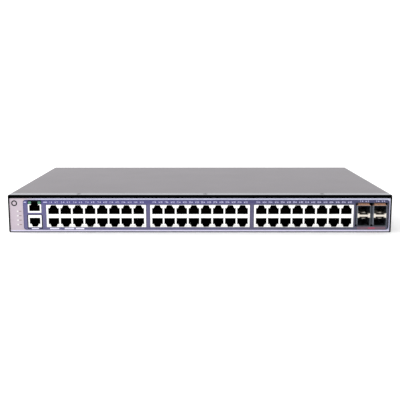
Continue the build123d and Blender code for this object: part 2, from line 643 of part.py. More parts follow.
with BuildPart() as rivet:
    # Flush under the tray's floor, with a low head on the panel's lower flange.
    Cylinder(
        RIVET_RADIUS - SCREW_GAP,
        SHEET + PANEL_SHEET,
        align=(Align.CENTER, Align.CENTER, Align.MIN),
    )
    with Locations((0, 0, SHEET + PANEL_SHEET)):
        Cylinder(RIVET_HEAD_RADIUS, RIVET_HEAD, align=(Align.CENTER, Align.CENTER, Align.MIN))
    fillet(rivet.edges().sort_by(Axis.Z)[-1], RIVET_EDGE)
keep("panel_rivets", *copies(rivet.part, [(x, y_at(RIVET_DEPTH), 0) for x in RIVET_XS]))

with BuildPart() as nut:
    Cylinder(NUT_RADIUS, NUT_HEIGHT, align=(Align.CENTER, Align.CENTER, Align.MAX))
    Hole(BRACKET_HOLE)
nut_planes = [
    Plane(
        origin=(
            side * (tray_width / 2 - SHEET),
            y_at(BRACKET_DEPTH) + j * BRACKET_SPACING_Y / 2,
            BRACKET_Z + k * BRACKET_SPACING_Z / 2,
        ),
        z_dir=(side, 0, 0),
    )
    for side in (-1, 1)
    for j in (-1, 1)
    for k in (-1, 1)
]
nut_planes.append(Plane(origin=(GROUND_X, y_at(tray_rear - SHEET), GROUND_Z), z_dir=(0, 1, 0)))
keep("clinch_nuts", *[nut.part.moved(spot.location) for spot in nut_planes])

with BuildPart() as ground_screw:
    # A screw with its captive washer, run into the rear wall's nut.
    Cylinder(
        BRACKET_HOLE - SCREW_GAP,
        SHEET + NUT_HEIGHT + 2,
        align=(Align.CENTER, Align.CENTER, Align.MAX),
    )
    Cylinder(WASHER_RADIUS, WASHER_THICK, align=(Align.CENTER, Align.CENTER, Align.MIN))
    with Locations((0, 0, WASHER_THICK)):
        Cylinder(
            GROUND_HEAD_RADIUS, GROUND_HEAD, align=(Align.CENTER, Align.CENTER, Align.MIN)
        )
    fillet(ground_screw.edges().sort_by(Axis.Z)[-1], 0.8)
    with Locations((0, 0, WASHER_THICK + GROUND_HEAD)):
        cross_recess(GROUND_HEAD_RADIUS, GROUND_HEAD / 2)
spot = Plane(origin=(GROUND_X, y_at(tray_rear), GROUND_Z), z_dir=(0, 1, 0))
keep("ground_screw", ground_screw.part.moved(spot.location))

fan_screw = countersunk(FAN_SCREW_LENGTH, COVER_SCREW_ANGLE)
keep("fan_screws", *[fan_screw.moved(spot.location) for spot in fan_screw_planes])

# ================= boards and their fixings =================

main_holes = [(x, y_at(depth)) for x in standoff_xs for depth in standoff_depths]
supply_holes = [
    (SUPPLY_X + side * (SUPPLY_WIDTH / 2 - SUPPLY_HOLE_INSET), y_at(depth))
    for side in (-1, 1)
    for depth in (supply_start + SUPPLY_HOLE_INSET, supply_end - SUPPLY_HOLE_INSET)
]


def make_board(x_span, depth_span, holes):
    """A circuit board, with a hole for each of its screws."""
    with BuildPart() as board:
        block(x_span, depth_span, (board_bottom, BOARD_TOP))
        with Locations(*[(x, y, BOARD_TOP) for x, y in holes]):
            Hole(M3 + FIT, depth=BOARD)
    return board.part


keep(
    "main_board",
    make_board(
        (-board_half, board_half),
        (MAIN_BOARD_START, main_board_end),
        main_holes,
    ),
)
keep(
    "supply_board",
    make_board(
        (SUPPLY_X - SUPPLY_WIDTH / 2, SUPPLY_X + SUPPLY_WIDTH / 2),
        (supply_start, supply_end),
        supply_holes,
    ),
)

with BuildPart() as standoff:
    with BuildSketch(Plane.XY.offset(SHEET)):
        RegularPolygon(STANDOFF_RADIUS, 6, major_radius=False)
        Circle(M3, mode=Mode.SUBTRACT)
    extrude(amount=board_bottom - SHEET)
keep("board_standoffs", *copies(standoff.part, [(x, y, 0) for x, y in main_holes + supply_holes]))
board_screw = pan_head(BOARD_TOP - SHEET - 0.5, BOARD_SCREW_HEAD_RADIUS, BOARD_SCREW_HEAD)
keep(
    "board_screws",
    *copies(board_screw, [(x, y, BOARD_TOP) for x, y in main_holes + supply_holes]),
)

# ================= parts on the main board =================


def on_board(name, size, places, edge=0.2):
    """Moulded components that stand on a board, all of one size: (width, length, height)."""
    with BuildPart() as component:
        Box(*size, align=(Align.CENTER, Align.CENTER, Align.MIN))
        chamfer(component.faces().sort_by(Axis.Z)[-1].edges(), edge)
    keep(name, *copies(component.part, [(x, y_at(depth), BOARD_TOP) for x, depth in places]))


def make_can(radius, height):
    """An upright capacitor: a crimped aluminium can."""
    with BuildPart() as body:
        Cylinder(radius, height, align=(Align.CENTER, Align.CENTER, Align.MIN))
        fillet(body.faces().sort_by(Axis.Z)[-1].edges(), radius / 8)
        with BuildSketch(Plane.XY.offset(1.2)):
            Circle(radius)
            Circle(radius * 0.93, mode=Mode.SUBTRACT)
        extrude(amount=0.8, mode=Mode.SUBTRACT)
    return body.part


socket_xs = [x + step for x in block_xs for step in column_offsets]
on_board("lan_transformers", (12.0, 15.5, 5.6), [(x, 37.5) for x in socket_xs])
on_board("phy_chips", (20.0, 20.0, 1.6), [(x + side, 70) for x in block_xs for side in (-28, 28)])
on_board("switch_chip", (35.0, 35.0, SWITCH_CHIP_HEIGHT), [(0, CHIP_ROW)])
on_board("processor_chip", (27.0, 27.0, 2.2), [(-118, CHIP_ROW)])
on_board("memory_chips", (8.0, 14.0, 1.1), [(-150 - 12 * i, CHIP_ROW) for i in range(4)])
on_board("board_inductors", (12.5, 12.5, 6.0), [(110, 104 + 16 * i) for i in range(4)], 1.0)
board_cans = [(135 + 14 * i, 118 + 16 * j) for i in range(5) for j in range(2)]
keep(
    "board_capacitors",
    *copies(make_can(5.0, 13.0), [(x, y_at(depth), BOARD_TOP) for x, depth in board_cans]),
)

with BuildPart() as switch_heatsink:
    with Locations((0, y_at(CHIP_ROW), BOARD_TOP + SWITCH_CHIP_HEIGHT)):
        Box(SINK_SIZE, SINK_SIZE, SINK_BASE, align=(Align.CENTER, Align.CENTER, Align.MIN))
        fins = int(SINK_SIZE / SINK_STEP)
        with Locations((0, 0, SINK_BASE)):
            with GridLocations(SINK_STEP, 1, fins, 1):
                Box(
                    SINK_FIN,
                    SINK_SIZE,
                    SINK_HEIGHT - SINK_BASE,
                    align=(Align.CENTER, Align.CENTER, Align.MIN),
                )
keep("switch_heatsink", switch_heatsink.part)

# ================= cages for pluggable modules =================

cage_rear = CAGE_FRONT + CAGE_DEPTH
divider_top = divider_middle + DIVIDER_HEIGHT / 2
divider_half = CAGE_WIDTH / 2 - CAGE_SHEET - SHELL_GAP


def make_cage(x):
    """A folded cage for two modules, one above the other, standing on the board on short feet."""
    half = CAGE_WIDTH / 2
    with BuildPart() as cage:
        block((x - half, x + half), (CAGE_FRONT, cage_rear), (cage_bottom, cage_top))
        offset(amount=-CAGE_SHEET, openings=cage.faces().sort_by(Axis.Y)[0])
        block(
            (x - half + 1, x + half - 1),
            (CARD_SLOT_START - 1, cage_rear - 0.8),
            (cage_bottom, cage_bottom + CAGE_SHEET),
            mode=Mode.SUBTRACT,
        )
        feet = (BOARD_TOP + cage_bottom) / 2
        with Locations((x, y_at(cage_rear / 2), feet)):
            with GridLocations(CAGE_WIDTH - CAGE_SHEET, cage_rear / 4, 2, 3):
                Box(CAGE_SHEET, 2.0, cage_bottom - BOARD_TOP)
        # Air holes in the top.
        with BuildSketch(Plane.XY.offset(cage_top)):
            with Locations((x, y_at(cage_rear / 2))):
                with GridLocations(3.2, 3.6, 4, 10):
                    Circle(1.0)
        extrude(amount=-CAGE_SHEET, mode=Mode.SUBTRACT)
    return cage.part


def make_divider(x):
    """The folded sheet between a cage's two openings, waisted in the middle of its front edge and
    slotted above and below for the latch tongues."""
    low = divider_middle - DIVIDER_HEIGHT / 2
    with BuildPart() as divider:
        block(
            (x - divider_half, x + divider_half),
            (CAGE_FRONT, CAGE_FRONT + DIVIDER_DEPTH),
            (low, divider_top),
        )
        rear_and_sides = divider.faces().sort_by(Axis.Y)[-1]
        offset(amount=-CAGE_SHEET, openings=rear_and_sides)
        for edge, inward in ((divider_top, -1), (low, 1)):
            # The front edge dips between the two flared ends.
            dip = (DIVIDER_HEIGHT - DIVIDER_BAR) / 2 * inward
            wide, narrow = (divider_half - inset for inset in DIVIDER_FLARE)
            waist = [(-wide, 0), (-narrow, dip), (narrow, dip), (wide, 0)]
            with BuildSketch(facing(CAGE_FRONT)):
                Polygon(*[(x + across, edge + rise) for across, rise in waist], align=None)
            extrude(amount=-CAGE_SHEET, mode=Mode.SUBTRACT)
            block(
                (x - LATCH_SLOT_WIDTH / 2, x + LATCH_SLOT_WIDTH / 2),
                (CAGE_FRONT, LATCH_END + LATCH_SLOT_GAP),
                sorted((edge, edge + CAGE_SHEET * inward)),
                mode=Mode.SUBTRACT,
            )
    return divider.part


def make_latch():
    """A latch tongue for an upper opening, at x 0: a sprung strip with a lifted, rounded tip and a
    slot that catches the module's peg."""
    top = divider_top
    with BuildPart() as latch:
        with BuildSketch(sideways(-LATCH_WIDTH / 2)):
            Polygon(
                (y_at(LATCH_END), top),
                (y_at(LATCH_END), top - CAGE_SHEET),
                (y_at(LATCH_START + 3), top - CAGE_SHEET),
                (y_at(LATCH_START), top - CAGE_SHEET + LATCH_RISE),
                (y_at(LATCH_START), top + LATCH_RISE),
                (y_at(LATCH_START + 3), top),
                align=None,
            )
        extrude(amount=LATCH_WIDTH)
        with BuildSketch(Plane.XY.offset(top + LATCH_RISE)) as outline:
            with Locations((0, y_at((LATCH_START + LATCH_END) / 2))):
                Rectangle(LATCH_WIDTH, LATCH_END - LATCH_START)
            fillet(outline.vertices().group_by(Axis.Y)[0], LATCH_WIDTH / 3)
        extrude(amount=-(CAGE_SHEET + LATCH_RISE), mode=Mode.INTERSECT)
        with BuildSketch(Plane.XY.offset(top)):
            with Locations((0, y_at(LATCH_START + 6))):
                Rectangle(2.8, 2.6)
        extrude(amount=-CAGE_SHEET, mode=Mode.SUBTRACT)
    return latch.part


def make_springs(x):
    """A thin saddle over a cage's front with fingers that lean out to the edges of the panel's
    window, above and on both sides."""
    half = CAGE_WIDTH / 2
    start = CAGE_FRONT + 0.5
    end = start + SPRING_DEPTH
    tip = start + 3.5
    low = cage_bottom + 1.5
    with BuildPart() as springs:
        outer = half + SPRING_SHEET
        block((x - outer, x + outer), (start, end), (low, cage_top + SPRING_SHEET))
        block((x - half, x + half), (start, end), (low, cage_top), mode=Mode.SUBTRACT)
        across = int(CAGE_WIDTH / FINGER_PITCH)
        lefts = [x + (i - (across - 1) / 2) * FINGER_PITCH - FINGER_WIDTH / 2 for i in range(across)]
        with BuildSketch(*[sideways(place) for place in lefts]):
            Polygon(
                (y_at(start), cage_top),
                (y_at(start), cage_top + SPRING_SHEET),
                (y_at(tip), window_top - SPRING_SHEET),
                (y_at(tip), window_top - 2 * SPRING_SHEET),
                (y_at(start) + 2 * SPRING_SHEET, cage_top),
                align=None,
            )
        extrude(amount=FINGER_WIDTH)
        up = int((cage_top - low) / FINGER_PITCH)
        heights = [low + 0.5 + i * FINGER_PITCH for i in range(up)]
        for side, reach in ((-1, SPRING_REACH[0]), (1, SPRING_REACH[1])):
            edge = x + side * half
            with BuildSketch(*[Plane.XY.offset(z) for z in heights]):
                Polygon(
                    (edge, y_at(start)),
                    (edge + side * SPRING_SHEET, y_at(start)),
                    (edge + side * reach, y_at(tip)),
                    (edge + side * (reach - SPRING_SHEET), y_at(tip)),
                    (edge, y_at(start) + 2 * SPRING_SHEET),
                    align=None,
                )
            extrude(amount=FINGER_WIDTH)
    return springs.part


def make_cage_connector(x):
    """The moulded connector at the back of a cage, with a card slot for each module."""
    with BuildPart() as connector:
        half = CAGE_WIDTH / 2 - CONNECTOR_INSET
        top = divider_top + CONNECTOR_RISE
        block((x - half, x + half), (CARD_SLOT_START, cage_rear - 1), (BOARD_TOP, top))
        slot = half - CARD_SLOT_WALL
        for side in (-1, 1):
            z = divider_middle + side * (DIVIDER_HEIGHT / 2 + CARD_RISE)
            block(
                (x - slot, x + slot),
                (CARD_SLOT_START, CARD_SLOT_START + CARD_SLOT_DEPTH),
                (z - CARD_SLOT / 2, z + CARD_SLOT / 2),
                mode=Mode.SUBTRACT,
            )
    return connector.part


latch_up = make_latch()
latch_down = latch_up.mirror(Plane.XY.offset(divider_middle))
for name, x in zip(("left", "right"), cage_xs):
    keep(f"cage_{name}", make_cage(x))
    keep(f"latch_{name}_upper", *copies(latch_up, [(x, 0, 0)]))
    keep(f"latch_{name}_lower", *copies(latch_down, [(x, 0, 0)]))
keep("cage_dividers", *[make_divider(x) for x in cage_xs])
keep("cage_springs", *[make_springs(x) for x in cage_xs])
keep("cage_connectors", *[make_cage_connector(x) for x in cage_xs])

# ================= power supply =================

with BuildPart() as insulation_sheet:
    block(
        (SUPPLY_X - SUPPLY_WIDTH / 2 - 2, SUPPLY_X + SUPPLY_WIDTH / 2 + 2),
        (supply_start - 2, supply_end + 2),
        (SHEET, SHEET + FILM),
    )
    with Locations(*[(x, y, SHEET + FILM) for x, y in supply_holes]):
        Hole(STANDOFF_RADIUS * 1.2, depth=FILM)
keep("insulation_sheet", insulation_sheet.part)

with BuildPart() as supply_transformer:
    # An E-shaped core round a taped winding, on its bobbin.
    with Locations((SUPPLY_X + 18, y_at(supply_middle), BOARD_TOP)):
        Box(34, 24, 3, align=(Align.CENTER, Align.CENTER, Align.MIN))
        with Locations((0, 0, 3)):
            Box(36, 12, 26, align=(Align.CENTER, Align.CENTER, Align.MIN))
            Box(22, 26, 20, align=(Align.CENTER, Align.CENTER, Align.MIN))
keep("supply_transformer", supply_transformer.part)

supply_cans = [(SUPPLY_X - 34, supply_middle + 4, 9.0, 30.0)]
supply_cans += [(SUPPLY_X + 50, supply_middle + 13 * i - 1, 5.0, 20.0) for i in (-1, 0, 1)]
keep(
    "supply_capacitors",
    *[make_can(r, tall).moved(Location((x, y_at(d), BOARD_TOP))) for x, d, r, tall in supply_cans],
)

with BuildPart() as fin_plate:
    Box(2.5, 40, 26, align=(Align.CENTER, Align.CENTER, Align.MIN))
    with Locations((2.5, 0, 4)):
        with GridLocations(1, 7, 1, 6):
            Box(4.0, 1.5, 20, align=(Align.CENTER, Align.CENTER, Align.MIN))
keep(
    "supply_heatsinks",
    *copies(
        fin_plate.part, [(SUPPLY_X + step, y_at(supply_middle), BOARD_TOP) for step in (-14, 38)]
    ),
)

# ================= rear connectors and leads =================

inlet_face = tray_rear + INLET_FLANGE_THICK

with BuildPart() as mains_inlet:
    flange_width, flange_height = (size + 2 * INLET_FLANGE for size in (INLET_WIDTH, INLET_HEIGHT))
    with BuildSketch(facing(inlet_face)):
        with Locations((INLET_X, INLET_Z)):
            RectangleRounded(flange_width, flange_height, INLET_CORNER)
    extrude(amount=INLET_FLANGE_THICK)
    with BuildSketch(facing(tray_rear)):
        with Locations((INLET_X, INLET_Z)):
            Rectangle(INLET_WIDTH, INLET_HEIGHT)
    extrude(amount=INLET_LENGTH)
    mouth_width, mouth_height, mouth_depth = INLET_MOUTH
    with BuildSketch(facing(inlet_face)) as opening:
        with Locations((INLET_X, INLET_Z)):
            Rectangle(mouth_width, mouth_height)
        chamfer(opening.vertices().group_by(Axis.Y)[-1], INLET_CHAMFER)
    extrude(amount=mouth_depth, mode=Mode.SUBTRACT)
    with BuildSketch(facing(inlet_face)):
        with Locations(*[(INLET_X + x, INLET_Z + z) for x, z in PIN_PLACES]):
            Rectangle(PIN_WIDTH + 2 * SCREW_GAP, PIN_HEIGHT + 2 * SCREW_GAP)
    extrude(amount=INLET_LENGTH + INLET_FLANGE_THICK, mode=Mode.SUBTRACT)
keep("mains_inlet", mains_inlet.part)

inlet_inside = tray_rear - INLET_LENGTH
pins = []
for x, z in PIN_PLACES:
    with BuildPart() as pin:
        block(
            (INLET_X + x - PIN_WIDTH / 2, INLET_X + x + PIN_WIDTH / 2),
            (inlet_inside - TAB_LENGTH, inlet_face - PIN_SETBACK),
            (INLET_Z + z - PIN_HEIGHT / 2, INLET_Z + z + PIN_HEIGHT / 2),
        )
        chamfer(pin.faces().sort_by(Axis.Y)[-1].edges(), PIN_TIP)
    pins.append(pin.part)
keep("mains_inlet_pins", *pins)

backup_face = tray_rear + WASHER_THICK
backup_cells = [
    (BACKUP_X + (i - (BACKUP_CELLS - 1) / 2) * BACKUP_PITCH, BACKUP_Z + (j - 0.5) * BACKUP_PITCH)
    for i in range(BACKUP_CELLS)
    for j in range(2)
]
with BuildPart() as backup_socket:
    with BuildSketch(facing(backup_face)):
        with Locations((BACKUP_X, BACKUP_Z)):
            Rectangle(backup_width, backup_height)
    extrude(amount=BACKUP_LENGTH)
    with BuildSketch(facing(backup_face)):
        with Locations(*backup_cells):
            RectangleRounded(BACKUP_CELL, BACKUP_CELL, BACKUP_CELL_CORNER)
    extrude(amount=BACKUP_POCKET, mode=Mode.SUBTRACT)
    with BuildSketch(facing(backup_face)):
        with Locations(*backup_cells):
            Rectangle(BACKUP_PIN + 2 * BACKUP_PIN_GAP, BACKUP_PIN + 2 * BACKUP_PIN_GAP)
    extrude(amount=BACKUP_LENGTH, mode=Mode.SUBTRACT)
keep("backup_socket", backup_socket.part)

backup_tail = backup_face - BACKUP_LENGTH - BACKUP_TAIL
with BuildPart() as backup_pin:
    across = (-BACKUP_PIN / 2, BACKUP_PIN / 2)
    block(across, (backup_tail, backup_face - BACKUP_PIN_SETBACK), across)
keep("backup_pins", *copies(backup_pin.part, [(x, 0, z) for x, z in backup_cells]))


def make_lead(radius, points):
    """An insulated wire along straight runs joined by arcs. Each point is (x, depth, z)."""
    path = [(x, y_at(depth), z) for x, depth, z in points]
    with BuildPart() as lead:
        with BuildLine() as run:
            FilletPolyline(*path, radius=LEAD_BEND)
        with BuildSketch(Plane(origin=run.line @ 0, z_dir=run.line % 0)):
            Circle(radius)
        sweep(path=run.line)
    return lead.part


leads = []
tab_end = inlet_inside - TAB_LENGTH
landing = main_board_end - LEAD_REACH  # where the leads meet the main board
for x, z in PIN_PLACES:
    # From each of the inlet's tabs down to the supply board.
    wire_x, turn = INLET_X + x, tab_end - LEAD_REACH
    route = [(wire_x, tab_end, INLET_Z + z), (wire_x, turn, INLET_Z + z), (wire_x, turn, BOARD_TOP)]
    leads.append(make_lead(LEAD_RADIUS, route))
for i in range(4):
    # From the supply board forward to the main board.
    wire_x = SUPPLY_X + SUPPLY_WIDTH / 2 - (4 + i) * LEAD_STEP
    foot, arch = supply_start + LEAD_REACH, BOARD_TOP + LEAD_ARCH
    route = [(wire_x, foot, BOARD_TOP), (wire_x, foot, arch)]
    route += [(wire_x, landing, arch), (wire_x, landing, BOARD_TOP)]
    leads.append(make_lead(LEAD_RADIUS, route))
for i in (-1, 0, 1):
    # From the backup power socket's upper row of pins forward to the main board.
    wire_x, height = BACKUP_X + i * 2 * BACKUP_PITCH, BACKUP_Z + BACKUP_PITCH / 2
    route = [(wire_x, backup_tail, height), (wire_x, landing, height), (wire_x, landing, BOARD_TOP)]
    leads.append(make_lead(LEAD_RADIUS, route))
fan_inner = fan_outer - FAN_THICK
for i, depth in enumerate(fan_depths):
    # From each fan's corner across and forward to the main board.
    corner = depth - FAN_SIZE / 2 + FAN_HOLE_INSET
    run_x = fan_inner - (2 + i) * LEAD_STEP
    route = [(fan_inner, corner, FAN_LEAD_Z), (run_x, corner, FAN_LEAD_Z)]
    route += [(run_x, landing, FAN_LEAD_HIGH), (run_x, landing, BOARD_TOP)]
    leads.append(make_lead(FAN_LEAD_RADIUS, route))
keep("internal_leads", *leads)

# ================= fans =================
# Each fan is drawn with its axis along Z, the outlet face at z 0 and the inlet face below it, and
# is then turned so that the outlet faces +X.

hub_bottom = -(FAN_THICK - 1.5)
hub_top = hub_bottom + HUB_LENGTH
bearing_top = -BASE_THICK

with BuildPart() as fan_frame:
    with BuildSketch():
        RectangleRounded(FAN_SIZE, FAN_SIZE, 2.5)
        Circle(fan_bore, mode=Mode.SUBTRACT)
        with GridLocations(fan_hole_spacing, fan_hole_spacing, 2, 2):
            Circle(M3, mode=Mode.SUBTRACT)
    extrude(amount=-FAN_THICK)
    # Motor base, held by four arms, with the tube that carries the bearing.
    with BuildSketch():
        Circle(BASE_RADIUS)
        for angle in (0, 90):
            Rectangle(2 * fan_bore + 1, 2.4, rotation=angle + 20)
    extrude(amount=-BASE_THICK)
    with BuildSketch(Plane.XY.offset(-BASE_THICK)):
        Circle(TUBE_RADIUS)
        Circle(BEARING_RADIUS, mode=Mode.SUBTRACT)
    extrude(amount=-TUBE_LENGTH)

with BuildPart() as fan_bearing:
    with BuildSketch(Plane.XY.offset(bearing_top)):
        Circle(BEARING_RADIUS)
        Circle(SHAFT_RADIUS + SHAFT_CLEARANCE, mode=Mode.SUBTRACT)
    extrude(amount=-TUBE_LENGTH)

with BuildPart() as fan_shaft:
    with Locations((0, 0, bearing_top - 1)):
        Cylinder(
            SHAFT_RADIUS,
            bearing_top - 1 - hub_bottom,
            align=(Align.CENTER, Align.CENTER, Align.MAX),
        )

with BuildPart() as fan_rotor:
    with BuildSketch(Plane.XY.offset(hub_bottom)):
        Circle(HUB_RADIUS)
    extrude(amount=HUB_LENGTH)
    fillet(fan_rotor.faces().sort_by(Axis.Z)[0].edges(), 0.8)
    # Each blade leans over between its leading and trailing edges.
    for i in range(BLADES):
        turn = 360 / BLADES * i
        with BuildSketch(Plane.XY.offset(hub_bottom + 1).rotated((0, 0, turn))):
            Rectangle(blade_tip, BLADE_THICK, align=(Align.MIN, Align.CENTER))
        with BuildSketch(Plane.XY.offset(hub_top - 1).rotated((0, 0, turn + BLADE_LEAN))):
            Rectangle(blade_tip, BLADE_THICK, align=(Align.MIN, Align.CENTER))
        loft()
    with BuildSketch(Plane.XY.offset(hub_top)):
        Circle(HUB_RADIUS - HUB_WALL)
    extrude(amount=-(HUB_LENGTH - HUB_WALL), mode=Mode.SUBTRACT)
    with Locations((0, 0, hub_bottom + HUB_WALL)):
        Hole(SHAFT_RADIUS, depth=HUB_WALL)

STATOR_RADIUS, STATOR_THICK, POLES = 8.6, 5.0, 4
with BuildPart() as fan_stator:
    with BuildSketch(Plane.XY.offset(-BASE_THICK - 2.5)):
        Circle(STATOR_RADIUS)
        with PolarLocations(STATOR_RADIUS - 1.2, POLES, start_angle=45):
            Rectangle(5.0, 1.4, mode=Mode.SUBTRACT)
        Circle(TUBE_RADIUS, mode=Mode.SUBTRACT)
    extrude(amount=-STATOR_THICK)

fan_seats = [
    Plane(origin=(fan_outer, y_at(depth), fan_z), z_dir=(1, 0, 0)).location for depth in fan_depths
]
for name, seat in zip(("front", "rear"), fan_seats):
    keep(f"fan_frame_{name}", fan_frame.part.moved(seat))
    keep(f"fan_rotor_{name}", fan_rotor.part.moved(seat))
    keep(f"fan_shaft_{name}", fan_shaft.part.moved(seat))
keep("fan_bearings", *[fan_bearing.part.moved(seat) for seat in fan_seats])
keep("fan_stators", *[fan_stator.part.moved(seat) for seat in fan_seats])
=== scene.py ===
# %% [markdown]
# # Dressing a rackmount network switch in Blender
# The casing, sockets, cages, boards and fans are already solid models, packed as one fixed frame.
# This script gives every piece its finish, adds what is too thin to be worth a solid, such as the
# printing on the front, and sets up a camera, a floor and soft light.
# Everything is in metres in the frame's own axes: +X right, -Y towards the viewer, +Z up.

# %% Load the frame
import bpy
import math
from mathutils import Matrix, Vector


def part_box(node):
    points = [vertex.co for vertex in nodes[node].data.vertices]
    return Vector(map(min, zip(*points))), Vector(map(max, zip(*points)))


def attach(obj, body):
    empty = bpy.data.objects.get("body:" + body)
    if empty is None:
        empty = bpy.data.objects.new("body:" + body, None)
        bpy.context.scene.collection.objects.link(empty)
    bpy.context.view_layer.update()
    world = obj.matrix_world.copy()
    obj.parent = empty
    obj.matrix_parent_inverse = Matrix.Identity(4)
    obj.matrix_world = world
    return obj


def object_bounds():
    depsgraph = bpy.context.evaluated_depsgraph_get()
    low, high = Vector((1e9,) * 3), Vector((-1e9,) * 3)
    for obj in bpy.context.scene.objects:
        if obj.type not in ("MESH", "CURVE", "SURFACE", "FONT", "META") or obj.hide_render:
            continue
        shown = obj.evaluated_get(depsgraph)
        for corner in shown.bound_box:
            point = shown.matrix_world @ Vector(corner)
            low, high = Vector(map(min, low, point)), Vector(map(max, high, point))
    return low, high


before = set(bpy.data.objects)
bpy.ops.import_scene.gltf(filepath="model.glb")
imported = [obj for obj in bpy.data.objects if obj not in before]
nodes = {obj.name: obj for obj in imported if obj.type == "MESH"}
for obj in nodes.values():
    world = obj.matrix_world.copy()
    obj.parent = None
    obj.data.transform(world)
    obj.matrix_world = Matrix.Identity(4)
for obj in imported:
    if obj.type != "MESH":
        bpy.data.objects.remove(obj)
cad_low, cad_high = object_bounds()
front_y = cad_low.y
MM = 0.001
print("pieces", len(nodes), "size mm", [round(v / MM, 1) for v in cad_high - cad_low])
bpy.ops.object.select_all(action="DESELECT")

# %% [markdown]
# ## Camera
# The switch is seen square on from a little above, from close enough for its top to narrow
# strongly towards the rear. A long lens would flatten that, so the distance is kept and the focal
# length fills the frame's width with the casing.

# %% Camera
DISTANCE = 755.2 * MM  # in front of the front face
EYE_HEIGHT = 169.9 * MM
DIP = 0.173  # radians below the horizon
camera_data = bpy.data.cameras.new("camera")
camera_data.lens = 60.17
camera_data.clip_start = 0.01
camera = bpy.data.objects.new("camera", camera_data)
bpy.context.collection.objects.link(camera)
camera.location = (0, front_y - DISTANCE, EYE_HEIGHT)
camera.rotation_euler = (math.pi / 2 - DIP, 0, 0)
bpy.context.scene.camera = camera
print("camera at", [round(v, 3) for v in camera.location])

# %% [markdown]
# ## Studio
# The floor and the world around it are one pale white, as in a light tent, so that the dark paint
# on top has something bright to reflect at a glancing angle. One broad panel above and behind the
# viewer lifts the front, and another, high on the left, makes the top a little paler on that side.

# %% Nodes and colours
def linear(hex_colour, alpha=1.0):
    """An sRGB hex colour such as "4a4a52" as the linear values that a shader wants."""
    values = [int(hex_colour[i:i + 2], 16) / 255 for i in (0, 2, 4)]
    return [v / 12.92 if v <= 0.04045 else ((v + 0.055) / 1.055) ** 2.4 for v in values] + [alpha]


def add(tree, kind, settings=None, **links):
    """Adds a node. settings gives its properties and unlinked inputs, and links its linked ones."""
    node = tree.nodes.new("ShaderNode" + kind)
    for name, value in (settings or {}).items():
        if name in node.inputs.keys():
            node.inputs[name].default_value = value
        else:
            setattr(node, name, value)
    for name, output in links.items():
        tree.links.new(output, node.inputs[name.replace("_", " ")])
    return node


# %% Floor, world and lights
world = bpy.data.worlds.new("tent")
bpy.context.scene.world = world
world.use_nodes = True
background = world.node_tree.nodes["Background"]
background.inputs["Color"].default_value = (1.0, 1.0, 1.0, 1.0)
TENT_STRENGTH = 1.15
background.inputs["Strength"].default_value = TENT_STRENGTH

FLOOR_SIZE = 30  # metres, so that its edge is never seen
bpy.ops.mesh.primitive_plane_add(size=FLOOR_SIZE, location=(0, 0, 0))
floor = bpy.context.object
floor.name = "floor"
floor_paper = bpy.data.materials.new("white_paper")
floor_paper.use_nodes = True
floor_shader = floor_paper.node_tree.nodes["Principled BSDF"]
floor_shader.inputs["Base Color"].default_value = linear("fbfbfb")
floor_shader.inputs["Roughness"].default_value = 0.9
floor.data.materials.append(floor_paper)


def softbox(name, place, aim, width, height, power):
    """A broad lamp at place that faces the point aim."""
    lamp = bpy.data.lights.new(name, "AREA")
    lamp.shape = "RECTANGLE"
    lamp.size, lamp.size_y = width, height
    lamp.energy = power
    holder = bpy.data.objects.new(name, lamp)
    bpy.context.collection.objects.link(holder)
    holder.location = place
    holder.rotation_euler = (Vector(aim) - Vector(place)).to_track_quat("-Z", "Y").to_euler()
    return holder


softbox("front_softbox", (0, -1.6, 1.1), (0, 0, 0), 2.0, 1.0, 5)
softbox("top_softbox", (-1.3, 0.4, 1.1), (-0.1, 0, 0), 1.2, 1.2, 18)
bpy.context.scene.view_settings.view_transform = "Standard"

# %% [markdown]
# ## Powder-coated steel: the tray and the cover
# The casing is folded steel with a dark charcoal powder coat. Powder melts into a skin with a fine
# orange peel about half a millimetre across, which breaks up highlights but, seen at a glancing
# angle, still mirrors the bright surroundings as one even grey. A dark colour under a middling
# roughness does this, and two noises, one for the peel and one for slow unevenness, keep the large
# flat top from looking like plastic film.

# %% Powder coat
def new_material(name):
    """An empty material with one Principled shader: returns (material, its tree, the shader)."""
    material = bpy.data.materials.new(name)
    material.use_nodes = True
    return material, material.node_tree, material.node_tree.nodes["Principled BSDF"]


def set_shader(shader, **values):
    """Sets constant values on a shader's own sockets."""
    for name, value in values.items():
        shader.inputs[name.replace("_", " ")].default_value = value


def surface(name, hex_colour, hex_worn, grain_mm, bump_mm, roughness, spread, **values):
    """A material whose colour drifts between two hex values and whose surface carries a grain of a
    real size. bump_mm is the grain's height, and spread is how far the roughness wanders."""
    material, tree, shader = new_material(name)
    place = add(tree, "TexCoord").outputs["Object"]
    drift = add(tree, "TexNoise", {"Scale": 1 / (45 * MM), "Detail": 3.0}, Vector=place)
    grain = add(
        tree, "TexNoise", {"Scale": 1 / (grain_mm * MM), "Detail": 4.0, "Roughness": 0.6},
        Vector=place,
    )
    colours = add(tree, "ValToRGB", Fac=drift.outputs["Fac"])
    colours.color_ramp.elements[0].position = 0.35
    colours.color_ramp.elements[1].position = 0.7
    colours.color_ramp.elements[0].color = linear(hex_colour)
    colours.color_ramp.elements[1].color = linear(hex_worn)
    tree.links.new(colours.outputs["Color"], shader.inputs["Base Color"])
    rough = add(
        tree, "MapRange", {"To Min": roughness - spread, "To Max": roughness + spread},
        Value=grain.outputs["Fac"],
    )
    tree.links.new(rough.outputs["Result"], shader.inputs["Roughness"])
    bump = add(
        tree, "Bump", {"Strength": 1.0, "Distance": bump_mm * MM}, Height=grain.outputs["Fac"]
    )
    tree.links.new(bump.outputs["Normal"], shader.inputs["Normal"])
    set_shader(shader, **values)
    return material


